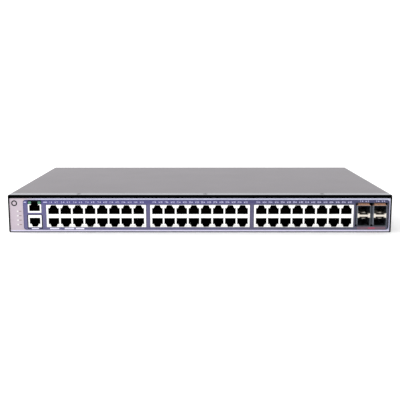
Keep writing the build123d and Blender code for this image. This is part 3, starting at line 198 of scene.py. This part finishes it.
def dress(material, *names):
    """Gives CAD nodes, or new pieces, one material all over."""
    for name in names:
        piece = nodes[name] if isinstance(name, str) else name
        if not piece.data.materials:
            piece.data.materials.append(material)
        for index in range(len(piece.material_slots)):
            piece.material_slots[index].material = material


charcoal_powder_coat = surface(
    "charcoal_powder_coat", "484249", "4f4950", 0.55, 0.006, 0.36, 0.05,
    IOR=1.55, Specular_Tint=(1.0, 0.93, 1.0, 1.0),
)
dress(charcoal_powder_coat, "chassis_tray", "top_cover")

# %% [markdown]
# ## Moulded plastics: the bezel, the fans and the sockets
# The bezel is black ABS. Its front was moulded against a matt face and shows as plain black, while
# its upper ledge is painted pale grey: a painted reflection of the bright tent, which a ledge
# facing up shows at a glancing angle. One ramp on the surface's own direction tells the two apart,
# which needs no second piece. The fans and the connectors are glass-filled plastics that are duller
# still.

# %% ABS
matt_black_abs = surface("matt_black_abs", "010202", "020303", 0.25, 0.002, 0.5, 0.05, IOR=1.03)
tree, shader = matt_black_abs.node_tree, matt_black_abs.node_tree.nodes["Principled BSDF"]
# Faces that point up get a pale grey base colour: painted reflection, not the plastic's own colour.
upward = add(
    tree, "SeparateXYZ", Vector=add(tree, "NewGeometry").outputs["Normal"]
).outputs["Z"]
faces_up_painted_reflection = add(
    tree, "MapRange", {"From Min": 0.6, "From Max": 0.9}, Value=upward
).outputs["Result"]
body_colour = shader.inputs["Base Color"].links[0].from_socket
ledge = add(
    tree, "MixRGB", {"Color2": linear("a3a4a8")}, Fac=faces_up_painted_reflection, Color1=body_colour
)
tree.links.new(ledge.outputs["Color"], shader.inputs["Base Color"])
dress(matt_black_abs, "bezel_frame")
fan_black_pbt = surface("fan_black_pbt", "141416", "19191b", 0.3, 0.006, 0.5, 0.08)
dress(fan_black_pbt, "fan_frame_front", "fan_frame_rear", "fan_rotor_front", "fan_rotor_rear")
moulded_black_nylon = surface("moulded_black_nylon", "121213", "1a1a1b", 0.2, 0.008, 0.5, 0.08)
dress(moulded_black_nylon, "mains_inlet", "backup_socket", "cage_connectors")
socket_black_pbt = surface(
    "socket_black_pbt", "010101", "020202", 0.2, 0.005, 0.7, 0.08, IOR=1.06,
)
dress(
    socket_black_pbt,
    "port_inserts_left", "port_inserts_middle", "port_inserts_right", "management_insert",
)

# %% [markdown]
# ## Satin enamel and printed film: the front
# The panel is pale lilac-white enamel, and a polycarbonate film printed violet on its back covers
# most of it. The ink is deepest along the top and turns bluer to the right, and the clear film over
# it gives one even gloss, which a coat layer adds.

# %% Panel enamel
panel_low, panel_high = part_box("front_panel")
film_low, film_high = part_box("port_overlay")


def along_axis(tree, place, axis, start, end, stops):
    """A colour ramp laid along one axis from start to end. stops are (position, hex) pairs."""
    axes = add(tree, "SeparateXYZ", Vector=place)
    share = add(
        tree, "MapRange", {"From Min": start, "From Max": end}, Value=axes.outputs[axis]
    )
    ramp = add(tree, "ValToRGB", Fac=share.outputs["Result"])
    elements = ramp.color_ramp.elements
    while len(elements) < len(stops):
        elements.new(0.5)
    for element, (position, hex_colour) in zip(elements, stops):
        element.position = position
        element.color = linear(hex_colour)
    return ramp.outputs["Color"]


lilac_enamel, tree, shader = new_material("lilac_enamel")
place = add(tree, "TexCoord").outputs["Object"]
bare_end = (film_low.x - panel_low.x) / (panel_high.x - panel_low.x)
sprayed = along_axis(
    tree, place, "X", panel_low.x, panel_high.x,
    [(0.0, "b9adb7"), (bare_end, "b9adb7"), (bare_end + 0.04, "bfbfd8"), (1.0, "c0c2d8")],
)
# The enamel just below the film is painted paler (dcd8ee): painted light, standing in for light
# bounced up from the floor.
FLOOR_BOUNCE_EDGE = 0.6 * MM  # how softly the paler lip below the film starts
floor_bounce_share = along_axis(
    tree, place, "Z", film_low.z - FLOOR_BOUNCE_EDGE, film_low.z, [(0.0, "ffffff"), (1.0, "000000")]
)
enamel = add(tree, "MixRGB", {"Color2": linear("dcd8ee")}, Fac=floor_bounce_share, Color1=sprayed)
tree.links.new(enamel.outputs["Color"], shader.inputs["Base Color"])
peel = add(tree, "TexNoise", {"Scale": 1 / (0.4 * MM), "Detail": 3.0}, Vector=place)
sheen = add(tree, "MapRange", {"To Min": 0.4, "To Max": 0.5}, Value=peel.outputs["Fac"])
tree.links.new(sheen.outputs["Result"], shader.inputs["Roughness"])
ripple = add(tree, "Bump", {"Distance": 0.002 * MM}, Height=peel.outputs["Fac"])
tree.links.new(ripple.outputs["Normal"], shader.inputs["Normal"])
set_shader(shader, IOR=1.3)
dress(lilac_enamel, "front_panel")

# %% Printed film
printed_violet_film, tree, shader = new_material("printed_violet_film")
place = add(tree, "TexCoord").outputs["Object"]
ink = along_axis(
    tree, place, "X", film_low.x, film_high.x,
    [(0.0, "66638a"), (0.5, "605d7c"), (0.75, "565467"), (1.0, "4b4d5f")],
)
fade = along_axis(
    tree, place, "Z", film_low.z, film_high.z,
    [(0.0, "f4f2f6"), (0.3, "eceaf2"), (0.82, "e2e0f0"), (0.9, "bab8ea"), (1.0, "b0aee0")],
)
inked = add(tree, "MixRGB", {"blend_type": "MULTIPLY", "Fac": 1.0}, Color1=ink, Color2=fade)
tree.links.new(inked.outputs["Color"], shader.inputs["Base Color"])
haze = add(tree, "TexNoise", {"Scale": 1 / (0.3 * MM), "Detail": 2.0}, Vector=place)
texture = add(tree, "Bump", {"Distance": 0.002 * MM}, Height=haze.outputs["Fac"])
tree.links.new(texture.outputs["Normal"], shader.inputs["Normal"])
set_shader(shader, Roughness=0.45, IOR=1.3, Coat_Weight=0.3, Coat_Roughness=0.25)
dress(printed_violet_film, "port_overlay")

# %% [markdown]
# ## Printing on the film
# The real film is screen-printed on its back. Flat text could be an image, but an image blurs and
# cannot be resized, so every figure here is real geometry: text, triangles and lines, each three
# hundredths of a millimetre proud of the film. They lie flat while they are made, and are then
# stood up against the film.

# %% Tools for printing
INK = 0.03 * MM
CAP_HEIGHT = 0.7  # of a capital letter, as a share of the font's size
film_face = film_low.y


def stand_up(piece, x, z, face=film_face):
    """Turns a flat piece to face the viewer at x and z, and puts that place into its mesh."""
    bpy.ops.object.select_all(action="DESELECT")
    piece.select_set(True)
    bpy.context.view_layer.objects.active = piece
    piece.rotation_euler = (math.pi / 2, 0, 0)
    piece.location = (x, face, z)
    bpy.ops.object.transform_apply(location=True, rotation=True, scale=True)
    return piece


def figure(words, height, x, z):
    """A printed number, centred on x and z."""
    bpy.ops.object.text_add(location=(0, 0, 0))
    text = bpy.context.object.data
    text.body = words
    text.size = height / CAP_HEIGHT
    text.offset = text.size / 60
    text.align_x = text.align_y = "CENTER"
    text.extrude = INK
    text.resolution_u = 2
    bpy.ops.object.convert(target="MESH")
    return stand_up(bpy.context.object, x, z)


def thicken():
    """Gives the flat piece in edit mode the ink's thickness, and points its faces outwards."""
    bpy.ops.mesh.select_all(action="SELECT")
    bpy.ops.mesh.extrude_region_move(TRANSFORM_OT_translate={"value": (0, 0, INK)})
    bpy.ops.mesh.select_all(action="SELECT")
    bpy.ops.mesh.normals_make_consistent(inside=False)
    bpy.ops.object.mode_set(mode="OBJECT")


def copy_of(piece, dx, dz):
    """A copy with its own mesh, moved along the film."""
    twin = piece.copy()
    twin.data = piece.data.copy()
    bpy.context.collection.objects.link(twin)
    twin.data.transform(Matrix.Translation((dx, 0, dz)))
    return twin


def pointer(up, size, x, z):
    """A triangle that points up or down, with its middle at x and z."""
    bpy.ops.mesh.primitive_circle_add(vertices=3, radius=size, fill_type="NGON")
    piece = bpy.context.object
    if not up:
        piece.rotation_euler.z = math.pi
        bpy.ops.object.transform_apply(rotation=True)
    bpy.ops.object.mode_set(mode="EDIT")
    thicken()
    return stand_up(piece, x, z)


def rounded_patch(width, height, corner, x, z, line=None):
    """A rounded rectangle, or with line only its outline of that width."""
    bpy.ops.mesh.primitive_plane_add(size=1)
    piece = bpy.context.object
    piece.scale = (width, height, 1)
    bpy.ops.object.transform_apply(scale=True)
    bpy.ops.object.mode_set(mode="EDIT")
    bpy.ops.mesh.select_all(action="SELECT")
    bpy.ops.mesh.bevel(offset=corner, segments=6, affect="VERTICES")
    if line:
        bpy.ops.mesh.select_all(action="SELECT")
        bpy.ops.mesh.inset(thickness=line, depth=0)
        bpy.ops.mesh.delete(type="FACE")
    thicken()
    return stand_up(piece, x, z)


def printed(name, material, pieces):
    """Joins pieces of print into one, gives it its ink and fixes it to the casing."""
    bpy.ops.object.select_all(action="DESELECT")
    for piece in pieces:
        piece.select_set(True)
    bpy.context.view_layer.objects.active = pieces[0]
    bpy.ops.object.join()
    print_layer = bpy.context.object
    print_layer.name = name
    dress(material, print_layer)
    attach(print_layer, "chassis")
    print(name, len(print_layer.data.polygons), "faces")
    return print_layer


# %% [markdown]
# ## Screen inks
# Screen ink lies on the film as a matt skin with pinholes a fifth of a millimetre across, so each
# ink is a surface with that grain. They differ only in colour.

# %% Inks
pale_ink = surface("pale_screen_ink", "b6b3d4", "c3c0e0", 0.2, 0.002, 0.55, 0.05, IOR=1.3)
white_ink = surface("white_screen_ink", "dedbf0", "e8e5f7", 0.2, 0.002, 0.55, 0.05, IOR=1.3)
black_ink = surface("black_screen_ink", "101016", "17171d", 0.2, 0.002, 0.55, 0.05, IOR=1.3)
navy_ink = surface("navy_screen_ink", "34345c", "3b3b66", 0.2, 0.002, 0.5, 0.05, IOR=1.3)
grey_ink = surface("grey_screen_ink", "29272d", "302e35", 0.2, 0.002, 0.5, 0.05, IOR=1.3)
brown_ink = surface("brown_screen_ink", "8d7f7e", "998b89", 0.2, 0.002, 0.55, 0.05, IOR=1.3)
rose_ink = surface("rose_screen_ink", "6c5561", "765e6b", 0.2, 0.002, 0.5, 0.05, IOR=1.3)
red_ink = surface("red_screen_ink", "a0455a", "aa4e63", 0.2, 0.002, 0.5, 0.05, IOR=1.3)

# %% [markdown]
# ## Port numbers and pointers
# Above each pair of sockets stand two numbers, the odd one for the upper socket with a triangle
# that points up, and the even one for the lower with a triangle that points down. The columns are
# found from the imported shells, so the print follows the sockets.

# %% Numbers
shells = ["port_shell_left", "port_shell_middle", "port_shell_right"]
FIGURE_HEIGHT = 1.9 * MM
POINTER_SIZE = 1.05 * MM
NUMBER_OUT, POINTER_OUT = 4.5 * MM, 2.1 * MM  # from the column's middle
COLUMNS = 8
END_SHEET = 1.3 * MM  # shell beyond its end columns
shell_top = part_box("port_shell_left")[1].z
NUMBER_LIFT = 0.2 * MM  # above the middle of the strip over the sockets
CAGE_NUMBER_DROP = 1.6 * MM  # below the film's top edge
number_z = (shell_top + film_high.z) / 2 + NUMBER_LIFT
up_mark = pointer(True, POINTER_SIZE, 0, number_z)
down_mark = pointer(False, POINTER_SIZE, 0, number_z)
numbers = []
for block, shell in enumerate(shells):
    low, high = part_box(shell)
    pitch = (high.x - low.x - 2 * END_SHEET) / COLUMNS
    for column in range(COLUMNS):
        x = low.x + END_SHEET + (column + 0.5) * pitch
        odd = 2 * (block * COLUMNS + column) + 1
        numbers.append(figure(str(odd), FIGURE_HEIGHT, x - NUMBER_OUT, number_z))
        numbers.append(figure(str(odd + 1), FIGURE_HEIGHT, x + NUMBER_OUT, number_z))
        numbers.append(copy_of(up_mark, x - POINTER_OUT, 0))
        numbers.append(copy_of(down_mark, x + POINTER_OUT, 0))
cage_number_z = film_high.z - CAGE_NUMBER_DROP
for column, cage in enumerate(("cage_left", "cage_right")):
    low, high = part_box(cage)
    x = (low.x + high.x) / 2
    numbers.append(figure(str(2 * column + 1), FIGURE_HEIGHT, x - NUMBER_OUT, cage_number_z))
    numbers.append(figure(str(2 * column + 2), FIGURE_HEIGHT, x + NUMBER_OUT, cage_number_z))
    numbers.append(copy_of(up_mark, x - POINTER_OUT, cage_number_z - number_z))
    numbers.append(copy_of(down_mark, x + POINTER_OUT, cage_number_z - number_z))
bpy.data.objects.remove(up_mark)
bpy.data.objects.remove(down_mark)
printed("port_numbers", pale_ink, numbers)

# %% [markdown]
# ## Lines and patches
# A thin navy line runs round the film just inside its edge, and a grey bar closes the film's right
# end. A near-black line round the lower management socket sets it apart as the console port. Small
# white patches under that socket and the first few others stand for the words that say what they
# are for, and under the cages lies a rose patch with one red dash.

# %% Film edge and console outline
def spot(low, high):
    """The middle of a box as (x, z)."""
    return (low.x + high.x) / 2, (low.z + high.z) / 2


film_x, film_z = spot(film_low, film_high)
EDGE_IN, EDGE_CORNER, EDGE_LINE = 0.15 * MM, 2.9 * MM, 0.4 * MM
edge_line = rounded_patch(
    film_high.x - film_low.x - 2 * EDGE_IN, film_high.z - film_low.z - 2 * EDGE_IN, EDGE_CORNER,
    film_x, film_z, line=EDGE_LINE,
)
shell_low, shell_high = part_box("management_shell")
console_x = (shell_low.x + shell_high.x) / 2
CONSOLE_WIDTH, CONSOLE_LOW, CONSOLE_HIGH = 17.6 * MM, 3.7 * MM, 20.9 * MM
CONSOLE_CORNER, CONSOLE_LINE = 1.6 * MM, 0.85 * MM
console_line = rounded_patch(
    CONSOLE_WIDTH, CONSOLE_HIGH - CONSOLE_LOW, CONSOLE_CORNER,
    console_x, (CONSOLE_LOW + CONSOLE_HIGH) / 2, line=CONSOLE_LINE,
)
printed("film_edge_line", navy_ink, [edge_line])
printed("console_line", black_ink, [console_line])
END_BAR, END_BAR_CORNER = 1.2 * MM, 0.5 * MM
END_BAR_IN, END_BAR_SHORT = 1.0 * MM, 5 * MM  # in from the film's end, and less than its height
end_bar = rounded_patch(
    END_BAR, film_high.z - film_low.z - END_BAR_SHORT, END_BAR_CORNER,
    film_high.x - END_BAR_IN, film_z,
)
printed("film_end_bar", grey_ink, [end_bar])

# %% Patches
PATCH_Z = film_low.z + 1.4 * MM
PATCH_CORNER = 0.4 * MM
ROLES = ((7.5, 10.6, 1.6), (24.6, 11.0, 1.9), (36.8, 9.8, 1.9))  # place, width, height in mm
CONSOLE_PATCH = (8.5 * MM, 1.2 * MM)
first_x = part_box("port_shell_left")[0].x + END_SHEET
patches = [
    rounded_patch(wide * MM, high * MM, PATCH_CORNER, first_x + place * MM, PATCH_Z)
    for place, wide, high in ROLES
]
console_patch = rounded_patch(*CONSOLE_PATCH, PATCH_CORNER, console_x, PATCH_Z)
console_patch.data.transform(Matrix.Translation((0, -INK, 0)))  # over the console line
patches.append(console_patch)
printed("role_patches", white_ink, patches)

# %% Marks beside the upper management socket
MARKS = ((-10.9, 2.9), (12.4, 4.6))  # mm from the socket's middle, and mm wide
MARK_HEIGHT, MARK_CORNER, MARK_DROP = 1.1 * MM, 0.3 * MM, 2.7 * MM
marks = [
    rounded_patch(
        wide * MM, MARK_HEIGHT, MARK_CORNER, console_x + place * MM, film_high.z - MARK_DROP
    )
    for place, wide in MARKS
]
printed("management_marks", pale_ink, marks)

# %% Rose patch and red dash
cage_low, cage_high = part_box("cage_left")[0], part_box("cage_right")[1]
cage_x = (cage_low.x + cage_high.x) / 2
cage_patch_z = film_low.z + 1.95 * MM
ROSE = (33 * MM, 3.2 * MM, 0.8 * MM)  # width, height and corner
DASH = (8 * MM, 1.6 * MM, 0.5 * MM)
rose = rounded_patch(*ROSE, cage_x, cage_patch_z)
printed("cage_patch", rose_ink, [rose])
dash = rounded_patch(*DASH, cage_x, cage_patch_z)
dash.data.transform(Matrix.Translation((0, -INK, 0)))
printed("cage_dash", red_ink, [dash])

# %% [markdown]
# ## The bare end of the panel
# The enamel to the left of the film carries a maker's mark and four status lights. The mark here is
# a plain ring that stands for no one, and each light gets a short dash beside it.

# %% Ring and dashes
panel_face = panel_low.y
RING_X, RING_Z = panel_low.x + 5.4 * MM, 34.0 * MM
RING_SIZE, RING_CORNER, RING_LINE = 6.8 * MM, 3.3 * MM, 1.35 * MM
ring = rounded_patch(RING_SIZE, RING_SIZE, RING_CORNER, RING_X, RING_Z, line=RING_LINE)
ring.data.transform(Matrix.Translation((0, panel_face - film_face, 0)))
printed("panel_ring", black_ink, [ring])
light_low, light_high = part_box("status_light_pipes")
LIGHTS, LIGHT_RADIUS = 4, 0.9 * MM
LIGHT_DASH = (2.8 * MM, 1.1 * MM, 0.3 * MM)
LIGHT_DASH_OUT = 2.0 * MM  # from the lights' right edge to the middle of a dash
light_step = (light_high.z - light_low.z - 2 * LIGHT_RADIUS) / (LIGHTS - 1)
dashes = []
for i in range(LIGHTS):
    z = light_low.z + LIGHT_RADIUS + i * light_step
    dashes.append(rounded_patch(*LIGHT_DASH, light_high.x + LIGHT_DASH_OUT, z))
for dash in dashes:
    dash.data.transform(Matrix.Translation((0, panel_face - film_face, 0)))
printed("status_dashes", brown_ink, dashes)

# %% [markdown]
# ## Bright nickel: socket shells and cages
# The shells are brass sheet plated with nickel, and the cages are plated steel. Both are rolled
# sheet, so they carry faint lines a tenth of a millimetre apart along the strip, and they mirror
# the white tent as near-white faces round the black mouths.

# %% Plated sheet
def plated_sheet(name, hex_colour, roughness, line_mm, bump_mm, hex_line="ffffff"):
    """Rolled and plated metal: stretched noise makes the rolling lines, along X."""
    material, tree, shader = new_material(name)
    place = add(tree, "TexCoord").outputs["Object"]
    stretched = add(tree, "Mapping", {"Scale": (0.05, 1.0, 1.0)}, Vector=place)
    lines = add(
        tree, "TexNoise", {"Scale": 1 / (line_mm * MM), "Detail": 3.0},
        Vector=stretched.outputs["Vector"],
    )
    rough = add(
        tree, "MapRange", {"To Min": roughness - 0.05, "To Max": roughness + 0.08},
        Value=lines.outputs["Fac"],
    )
    tree.links.new(rough.outputs["Result"], shader.inputs["Roughness"])
    bump = add(tree, "Bump", {"Distance": bump_mm * MM}, Height=lines.outputs["Fac"])
    tree.links.new(bump.outputs["Normal"], shader.inputs["Normal"])
    tint = add(
        tree, "MixRGB", {"Color1": linear(hex_colour), "Color2": linear(hex_line)},
        Fac=lines.outputs["Fac"],
    )
    tree.links.new(tint.outputs["Color"], shader.inputs["Base Color"])
    set_shader(shader, Metallic=1.0)
    return material


bright_nickel_plate = plated_sheet("bright_nickel_plate", "dddcd8", 0.3, 0.25, 0.001)
latches = [name for name in nodes if name.startswith("latch_")]
dress(bright_nickel_plate, *shells)
warm_nickel_plate = plated_sheet("warm_nickel_plate", "cfc8bc", 0.4, 0.25, 0.001, "e2dcd2")
dress(warm_nickel_plate, "cage_dividers", *latches)
cage_tin_plate = plated_sheet("cage_tin_plate", "6d747e", 0.4, 0.25, 0.001, "8d949e")
dress(cage_tin_plate, "cage_left", "cage_right")
beryllium_copper = plated_sheet("beryllium_copper", "c9987a", 0.45, 0.2, 0.001, "dcac8c")
tree, shader = beryllium_copper.node_tree, beryllium_copper.node_tree.nodes["Principled BSDF"]
cage_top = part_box("cage_left")[1].z
heights = add(
    tree, "SeparateXYZ", Vector=add(tree, "TexCoord").outputs["Object"]
).outputs["Z"]
COPPER_EDGE = 0.6 * MM  # how softly the copper colour starts, just under the cage's top
bare = add(
    tree, "MapRange", {"From Min": cage_top - COPPER_EDGE, "From Max": cage_top}, Value=heights
).outputs["Result"]
copper = shader.inputs["Base Color"].links[0].from_socket
sides = add(tree, "MixRGB", {"Color1": linear("868b95")}, Fac=bare, Color2=copper)
tree.links.new(sides.outputs["Color"], shader.inputs["Base Color"])
set_shader(shader, Metallic=0.5)
dress(beryllium_copper, "cage_springs")
# The contacts get a near-black bronze: painted shade for their place deep in the sockets, darker
# than the metal really is.
shaded_phosphor_bronze = plated_sheet("shaded_phosphor_bronze", "1c160d", 0.5, 0.2, 0.0005, "241c12")
dress(shaded_phosphor_bronze, "socket_contacts")

# %% [markdown]
# ## Clear acrylic: light lenses
# The indicators are clear moulded acrylic over small lamps that are off. Milky inside, glossy
# outside: a pale body colour with some transmission reads as a lens without having to be hollow.

# %% Lenses
milky_acrylic = surface(
    "milky_acrylic", "efeeea", "f8f8f6", 0.5, 0.001, 0.12, 0.03, Transmission_Weight=0.15, IOR=1.49,
)
tree, shader = milky_acrylic.node_tree, milky_acrylic.node_tree.nodes["Principled BSDF"]
place = add(tree, "TexCoord").outputs["Object"]
past_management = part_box("management_shell")[1].x
GREEN_EDGE = 1 * MM  # past the shell, where there are no lenses
green_share = along_axis(
    tree, place, "X", past_management, past_management + GREEN_EDGE,
    [(0.0, "ffffff"), (1.0, "000000")],
)
clear = shader.inputs["Base Color"].links[0].from_socket
tinted = add(tree, "MixRGB", {"Color2": linear("4f8f78")}, Fac=green_share, Color1=clear)
tree.links.new(tinted.outputs["Color"], shader.inputs["Base Color"])
dress(milky_acrylic, "led_lenses")
status_acrylic = surface(
    "status_acrylic", "f4f2f2", "fbfafa", 0.5, 0.001, 0.15, 0.03, Transmission_Weight=0.2, IOR=1.49,
)
dress(status_acrylic, "status_light_pipes")

# %% [markdown]
# ## The hood over the upper management socket
# The upper management socket's shell is blackened over its top four millimetres, round two green
# windows that spread the light of the lamps behind them. The black is a ramp up the shell's own
# nickel plate, since plate and black are one skin. Each window is a thin rounded tile of green
# acrylic, glossy and a little see-through, just in front of the clear lens that it covers.

# %% Blackened shell
management_nickel = plated_sheet("management_nickel", "dddcd8", 0.3, 0.25, 0.001)
tree, shader = management_nickel.node_tree, management_nickel.node_tree.nodes["Principled BSDF"]
HOOD, HOOD_EDGE = 4.3 * MM, 0.3 * MM  # from the shell's top down, and how soft its edge is
hood = along_axis(
    tree, add(tree, "TexCoord").outputs["Object"], "Z",
    shell_high.z - HOOD, shell_high.z - HOOD + HOOD_EDGE, [(0.0, "000000"), (1.0, "ffffff")],
)
plate = shader.inputs["Base Color"].links[0].from_socket
hooded = add(tree, "MixRGB", {"Color2": linear("0a110f")}, Fac=hood, Color1=plate)
tree.links.new(hooded.outputs["Color"], shader.inputs["Base Color"])
dress(management_nickel, "management_shell")

# %% Windows of the management lights
green_acrylic = surface(
    "green_acrylic", "437a66", "528a75", 0.5, 0.001, 0.15, 0.03, Transmission_Weight=0.1, IOR=1.49,
)
WINDOW = (3.4 * MM, 2.6 * MM, 0.4 * MM)  # width, height and corner
WINDOW_OUT, WINDOW_DROP = 5.5 * MM, 2.2 * MM  # from the shell's middle, and below its top
lens_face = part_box("led_lenses")[0].y
windows = []
for side in (-1, 1):
    window = rounded_patch(*WINDOW, console_x + side * WINDOW_OUT, shell_high.z - WINDOW_DROP)
    window.data.transform(Matrix.Translation((0, lens_face - film_face, 0)))
    windows.append(window)
printed("management_windows", green_acrylic, windows)

# %% [markdown]
# ## Fasteners and rear fittings
# Screws on the outside are black-oxided steel and the inserts behind them zinc-plated. The zinc
# has fine crystals a third of a millimetre across that make its grey lively.

# %% Screws, nuts and pins
black_oxide_steel = surface(
    "black_oxide_steel", "141414", "1d1d1e", 0.15, 0.003, 0.42, 0.08, Metallic=0.6,
)
dress(black_oxide_steel, "bezel_screws", "cover_screws", "fan_screws")
zinc_plate = surface("zinc_plate", "b9bcc0", "cfd1d3", 0.35, 0.002, 0.35, 0.08, Metallic=1.0)
dress(zinc_plate, "clinch_nuts", "ground_screw", "panel_rivets", "board_standoffs", "board_screws")
tinned_brass = surface("tinned_brass", "c8c6be", "dad8d0", 0.2, 0.001, 0.28, 0.05, Metallic=1.0)
dress(tinned_brass, "mains_inlet_pins", "backup_pins", "fan_shaft_front", "fan_shaft_rear")
sintered_bronze = surface("sintered_bronze", "8a6a3c", "a17d48", 0.12, 0.01, 0.5, 0.1, Metallic=1.0)
dress(sintered_bronze, "fan_bearings")

# %% [markdown]
# ## Inside the casing
# The boards and what stands on them show only through the air holes, so each gets its true colour
# and a plain grain, and no more.

# %% Boards and components
solder_mask_fr4 = surface("solder_mask_fr4", "0f4a2a", "145433", 0.4, 0.01, 0.35, 0.08)
dress(solder_mask_fr4, "main_board", "supply_board")
epoxy_moulding = surface("epoxy_moulding", "17181a", "1e1f21", 0.1, 0.004, 0.6, 0.08)
dress(
    epoxy_moulding,
    "switch_chip", "phy_chips", "processor_chip", "memory_chips", "lan_transformers",
    "board_inductors",
)
extruded_aluminium = surface(
    "extruded_aluminium", "a9acb0", "b8babd", 0.3, 0.003, 0.4, 0.08, Metallic=1.0,
)
dress(extruded_aluminium, "switch_heatsink", "supply_heatsinks")
capacitor_sleeve = surface("capacitor_sleeve", "1c2333", "232b3d", 0.6, 0.002, 0.3, 0.05)
dress(capacitor_sleeve, "board_capacitors", "supply_capacitors")
polyester_tape = surface("polyester_tape", "c8a032", "d2ac42", 0.8, 0.004, 0.3, 0.06)
dress(polyester_tape, "supply_transformer")
insulating_film = surface("insulating_film", "d8d4c4", "e0dccf", 1.0, 0.003, 0.25, 0.05)
dress(insulating_film, "insulation_sheet")
pvc_insulation = surface("pvc_insulation", "1a1a1a", "232323", 0.5, 0.003, 0.4, 0.06)
dress(pvc_insulation, "internal_leads")
silicon_steel = surface("silicon_steel", "4d4e52", "5b5c60", 0.3, 0.004, 0.4, 0.08, Metallic=0.8)
dress(silicon_steel, "fan_stators")
